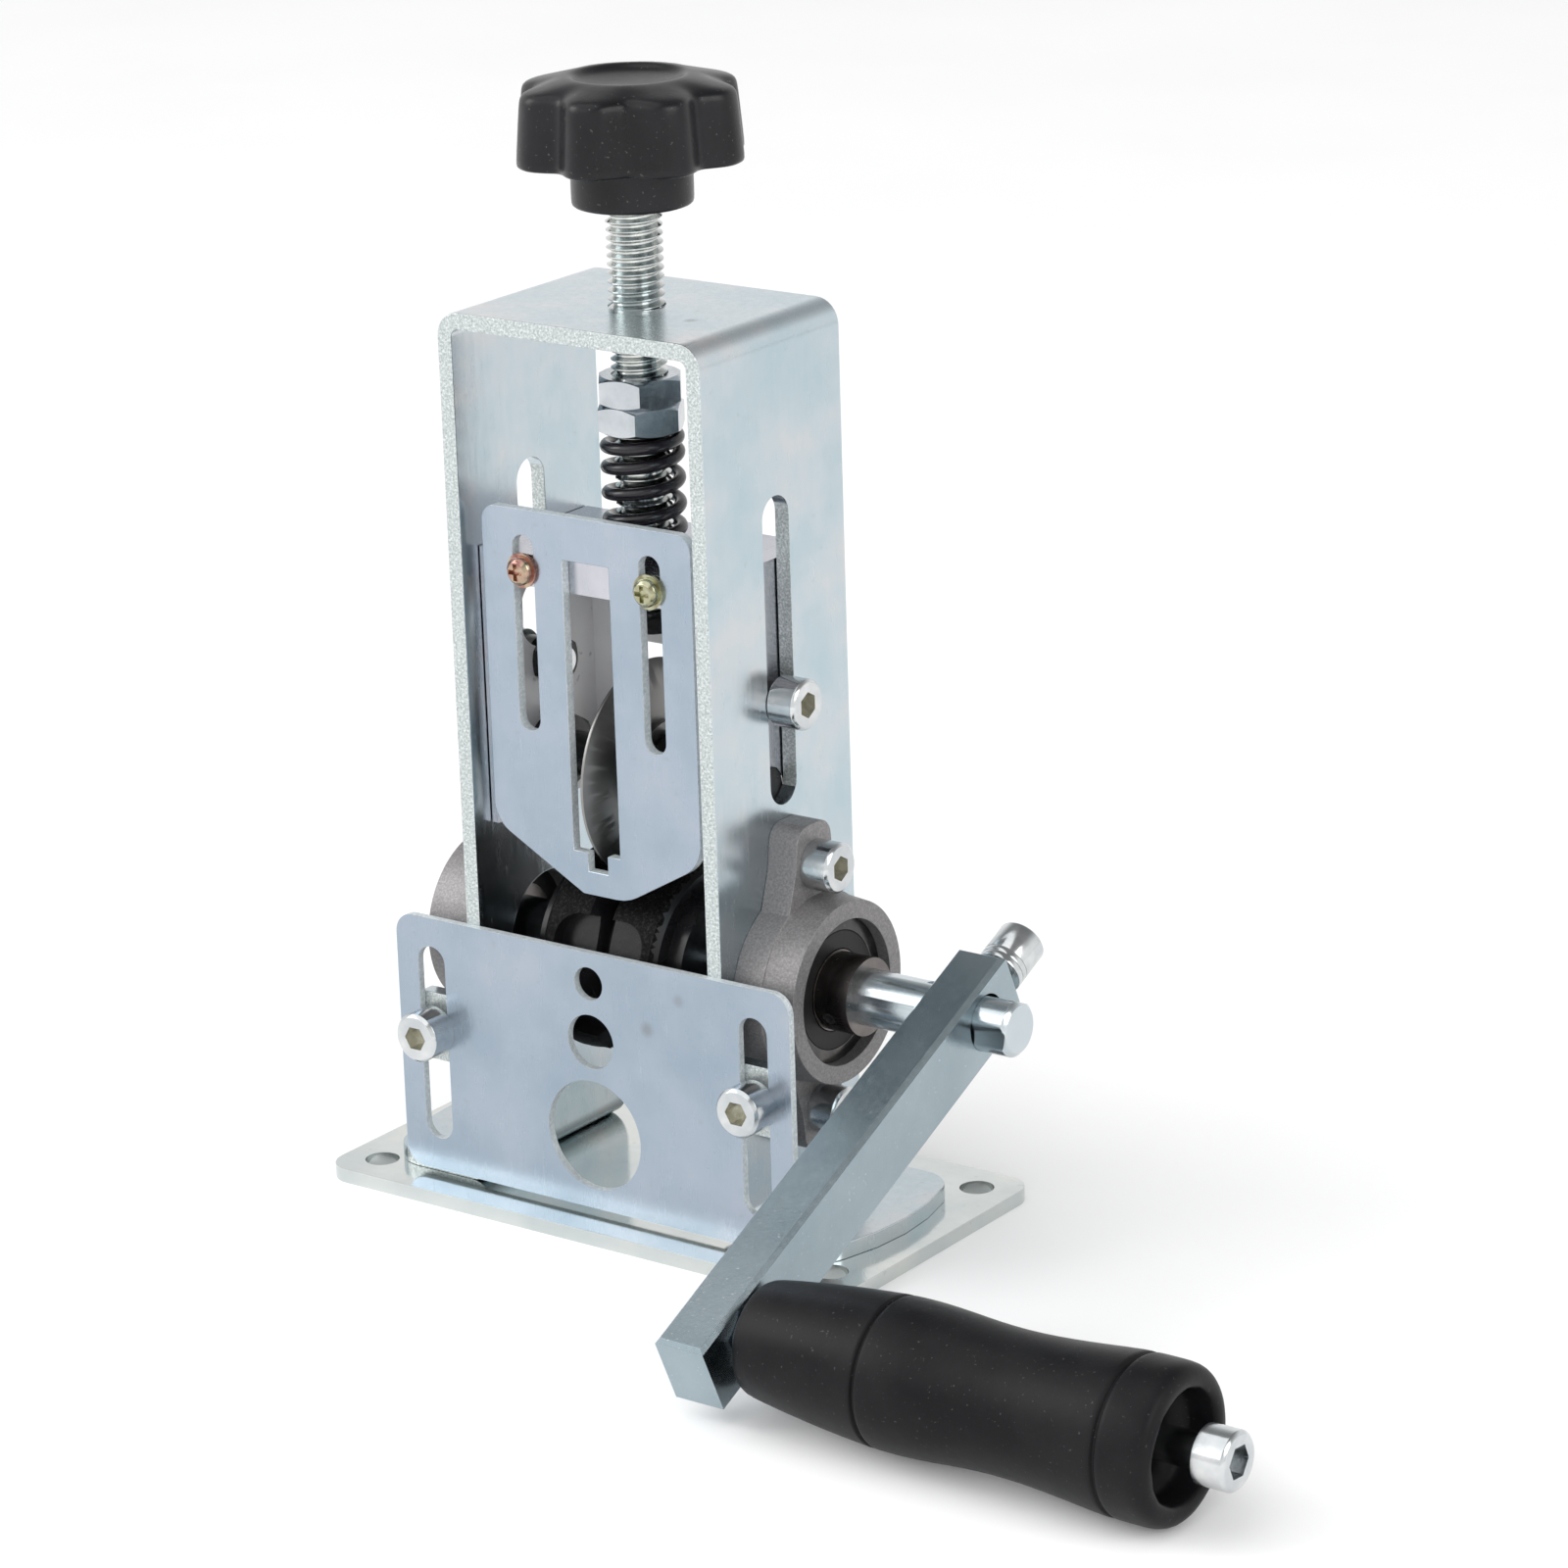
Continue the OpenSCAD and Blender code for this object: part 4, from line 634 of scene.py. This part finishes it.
def addSpring(s):
    low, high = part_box("spring")
    wire = s["wire"] / 2 * mm
    reach = s["radius"] * mm - wire
    tip = s["tipWires"] * wire
    rise = high.z - low.z - 2 * wire
    closed = s["closedPitch"] * mm
    openPitch = (rise - 2 * closed) / (s["turns"] - 2)
    easePitch = (closed + openPitch) / 2
    bm = bmesh.new()
    # the foot's straight tip lies behind the first ring
    ring = bmesh.ops.create_circle(bm, segments=s["sides"], radius=wire)["verts"]
    place = Matrix.Translation((reach, -tip, 0)) @ Matrix.Rotation(math.pi / 2, 4, "X")
    bmesh.ops.transform(bm, matrix=place, verts=ring)
    edges = list({e for v in ring for e in v.link_edges})
    grown = bmesh.ops.extrude_edge_only(bm, edges=edges)["geom"]
    grownVerts = [g for g in grown if isinstance(g, bmesh.types.BMVert)]
    bmesh.ops.translate(bm, vec=(0, tip, 0), verts=grownVerts)
    wanted = set(grownVerts)
    front = grownVerts + [e for e in bm.edges if e.verts[0] in wanted and e.verts[1] in wanted]
    closedEnd = (s["closedTurns"], closed)
    ease = (s["easeTurns"], easePitch)
    openTurns = s["turns"] - 2 * (s["closedTurns"] + s["easeTurns"])
    for turns, pitch in (closedEnd, ease, (openTurns, openPitch), ease, closedEnd):
        steps = round(turns * s["stepsPerTurn"])
        front = bmesh.ops.spin(bm, geom=front, cent=(0, 0, 0), axis=(0, 0, 1),
                               dvec=(0, 0, pitch * turns / steps), angle=turns * math.tau,
                               steps=steps)["geom_last"]
    lastEdges = [g for g in front if isinstance(g, bmesh.types.BMEdge)]
    grown = bmesh.ops.extrude_edge_only(bm, edges=lastEdges)["geom"]
    tipVerts = [g for g in grown if isinstance(g, bmesh.types.BMVert)]
    centre = sum((v.co for v in tipVerts), Vector()) / len(tipVerts)
    ahead = Vector((-centre.y, centre.x, 0)).normalized()
    bmesh.ops.translate(bm, vec=ahead * tip, verts=tipVerts)
    fillHoles(bm, bm.edges)
    closeUp(bm)
    turn = Matrix.Rotation(math.radians(s["topAngle"]) - s["turns"] * math.tau, 4, "Z")
    bmesh.ops.transform(bm, matrix=Matrix.Translation((0, screwY, low.z + wire)) @ turn, verts=bm.verts)
    spring = finishPiece("spring_wire", bm, "spring", ["springBlack"], s["smoothTo"])
    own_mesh(spring)


addSpring(coil)
print("spring wound")

# Knob: hub, lobed skirt, domed rim and dish, in one skin
knobShape = {
    "lobes": 8, "valley": 2.9, "valleyPower": 1.5, "turnedBy": -31.2, "steps": 128, "smoothTo": 60,
    # height above the hub's foot, radius, share of the lobes' waves
    "profile": [
        (17.0, 0.0, 0), (17.0, 7.02, 0), (0.0, 7.02, 0), (0.0, 8.5, 0), (0.0, 9.9, 0), (0.35, 10.42, 0),
        (0.9, 10.5, 0), (4.0, 10.5, 0), (7.3, 10.5, 0), (7.65, 10.7, 0.02), (7.7, 11.4, 0.1),
        (7.7, 14.5, 0.55), (7.75, 18.8, 0.95), (7.85, 19.75, 1), (8.2, 20.3, 1), (8.9, 20.35, 1),
        (13.0, 20.0, 1), (18.6, 19.5, 1), (19.8, 19.3, 1), (20.5, 18.75, 0.97), (20.95, 17.6, 0.85),
        (21.4, 15.6, 0.55), (21.95, 13.2, 0.2), (22.35, 11.2, 0.02), (22.44, 10.2, 0), (22.2, 9.55, 0),
        (21.5, 8.8, 0), (21.1, 7.2, 0), (20.9, 4.0, 0), (20.87, 0.0, 0),
    ],
}


def addKnob(k):
    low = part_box("knob")[0].z
    bm = bmesh.new()
    lobeShare = bm.verts.layers.float.new("lobeShare")
    row = []
    for height, radius, lobes in k["profile"]:
        vert = bm.verts.new((radius * mm, 0, low + height * mm))
        vert[lobeShare] = lobes
        row.append(vert)
    for below, above in zip(row, row[1:]):
        bm.edges.new((below, above))
    bmesh.ops.spin(bm, geom=bm.verts[:] + bm.edges[:], cent=(0, 0, 0), axis=(0, 0, 1), angle=math.tau,
                   steps=k["steps"], use_merge=True)
    for vert in bm.verts:
        angle = math.atan2(vert.co.y, vert.co.x) - math.radians(k["turnedBy"])
        wave = (1 - math.cos(k["lobes"] * angle)) / 2
        cutBack = k["valley"] * mm * vert[lobeShare] * wave ** k["valleyPower"]
        flatReach = math.hypot(vert.co.x, vert.co.y)
        if flatReach > 0:
            vert.co.xy = vert.co.xy * (1 - cutBack / flatReach)
    bmesh.ops.translate(bm, vec=(0, screwY, 0), verts=bm.verts)
    closeUp(bm)
    smoothSkin(finishPiece("knob_skin", bm, "knob", ["knobPlastic"], k["smoothTo"]))


addKnob(knobShape)
print("knob moulded")

# Grip: a waisted rubber sleeve with two rings cut in, a soft lip and a torn recess
gripShape = {
    "small": 9.85, "large": 13.35, "hole": 3.1, "crease": 0.2, "steps": 64, "smoothTo": 60,
    # share of the length, share of the way from the small to the large radius
    "outside": [
        (0.0, -0.30), (0.006, -0.10), (0.02, 0.02), (0.08, 0.22), (0.16, 0.46), (0.23, 0.63), (0.30, 0.755),
        (0.315, 0.785), (0.3175, 0.785), (0.3205, 0.60), (0.3255, 0.60), (0.3285, 0.785), (0.331, 0.79),
        (0.36, 0.81), (0.40, 0.80), (0.46, 0.72), (0.53, 0.58), (0.60, 0.53), (0.67, 0.58), (0.74, 0.70),
        (0.80, 0.84), (0.85, 0.95), (0.876, 0.99), (0.882, 0.99), (0.885, 0.80), (0.8905, 0.80),
        (0.894, 0.99), (0.900, 1.0), (0.93, 1.0), (0.965, 1.0), (0.982, 0.93), (0.994, 0.74), (1.0, 0.45),
    ],
    # depth from the large end, radius
    "recess": [(0, 10.2), (0.35, 9.45), (1.2, 9.3), (5.6, 9.3), (6, 8.8), (6, 3.1)],
    # the torn rim: how far it wanders, how often, how deep, at which radius and how wide
    "tear": 0.35, "tearScale": 420, "tearDepth": 1.3, "tearRadius": 9.3, "tearBand": 1.0,
}


def addGrip(g):
    length = gripHigh.x - gripLow.x
    swell = g["large"] - g["small"]
    hole = g["hole"] * mm
    outside = [(share * length, (g["small"] + swell * way) * mm) for share, way in g["outside"]]
    recess = [(length - depth * mm, radius * mm) for depth, radius in g["recess"]]
    bm = bmesh.new()
    row = [bm.verts.new((x, 0, r)) for x, r in [(0, hole), *outside, *recess, (g["crease"] * mm, hole)]]
    for one, two in zip(row, row[1:] + row[:1]):
        bm.edges.new((one, two))
    bmesh.ops.spin(bm, geom=bm.verts[:] + bm.edges[:], cent=(0, 0, 0), axis=(1, 0, 0), angle=math.tau,
                   steps=g["steps"], use_merge=True)
    # the recess was broken out, so its rim wanders
    for vert in bm.verts:
        reach = math.hypot(vert.co.y, vert.co.z)
        nearRim = abs(reach - g["tearRadius"] * mm) < g["tearBand"] * mm
        if nearRim and vert.co.x > length - g["tearDepth"] * mm:
            wander = field.noise(Vector((0, vert.co.y, vert.co.z)) * g["tearScale"]) * g["tear"] * mm
            vert.co.yz = vert.co.yz * (1 + wander / reach)
    bmesh.ops.translate(bm, vec=(gripLow.x, gripMiddle.y, gripMiddle.z), verts=bm.verts)
    closeUp(bm)
    smoothSkin(finishPiece("grip_sleeve", bm, "grip", ["gripRubber"], g["smoothTo"]))


addGrip(gripShape)
print("grip moulded")

# Floor and light
floorLook = {"size": 6.0, "low": (0.93, 0.93, 0.93), "high": (0.95, 0.95, 0.95), "cloudScale": 8.0,
             "rough": 0.9}


def addFloor(f):
    bm = bmesh.new()
    bmesh.ops.create_grid(bm, x_segments=1, y_segments=1, size=f["size"] / 2)
    mesh = bpy.data.meshes.new("floor")
    bm.to_mesh(mesh)
    bm.free()
    floor = bpy.data.objects.new("floor", mesh)
    bpy.context.scene.collection.objects.link(floor)
    material, tree, shader = startMaterial("floorPaint")
    cloud = noise(tree, objectPoint(tree), f["cloudScale"])
    tree.links.new(ramp(tree, cloud, [(0.3, f["low"]), (0.7, f["high"])]), shader.inputs["Base Color"])
    shader.inputs["Roughness"].default_value = f["rough"]
    mesh.materials.append(material)


addFloor(floorLook)

lampAim = Vector((0.02, -0.02, 0.09))
lamps = {
    "sun": {"kind": "SUN", "place": (-0.5, -0.8, 1.5), "power": 1.5, "angle": 80},
    "leftBox": {"kind": "AREA", "place": (-1.1, -0.7, 0.8), "power": 7, "size": 0.8},
    "rightBox": {"kind": "AREA", "place": (1.3, -0.2, 0.8), "power": 6, "size": 0.8},
    "frontBox": {"kind": "AREA", "place": (0.62, -0.95, 0.42), "power": 4, "size": 0.5, "mirrored": False},
}


def addLamp(name, lamp):
    data = bpy.data.lights.new(name, lamp["kind"])
    data.energy = lamp["power"]
    if lamp["kind"] == "SUN":
        data.angle = math.radians(lamp["angle"])
    else:
        data.size = lamp["size"]
    obj = bpy.data.objects.new(name, data)
    bpy.context.scene.collection.objects.link(obj)
    obj.location = lamp["place"]
    obj.visible_glossy = lamp.get("mirrored", True)
    aim = lampAim - Vector(lamp["place"])
    obj.rotation_euler = aim.to_track_quat("-Z", "Y").to_euler()


for name, lamp in lamps.items():
    addLamp(name, lamp)

# the studio is bright below and around the horizon, and darker overhead
studio = {"strength": 1.05, "levels": [(0.0, 1.0), (0.36, 1.0), (0.55, 0.62), (0.72, 0.3), (1.0, 0.25)]}


def addWorld(w):
    world = bpy.data.worlds.new("studio")
    bpy.context.scene.world = world
    world.use_nodes = True
    tree = world.node_tree
    place = tree.nodes.new("ShaderNodeTexCoord")
    split = tree.nodes.new("ShaderNodeSeparateXYZ")
    tree.links.new(place.outputs["Generated"], split.inputs["Vector"])
    sky = ramp(tree, split.outputs["Z"], [(at, (level, level, level)) for at, level in w["levels"]])
    background = tree.nodes["Background"]
    tree.links.new(sky, background.inputs["Color"])
    background.inputs["Strength"].default_value = w["strength"]


addWorld(studio)
bpy.context.scene.view_settings.view_transform = "Standard"
print("light set")
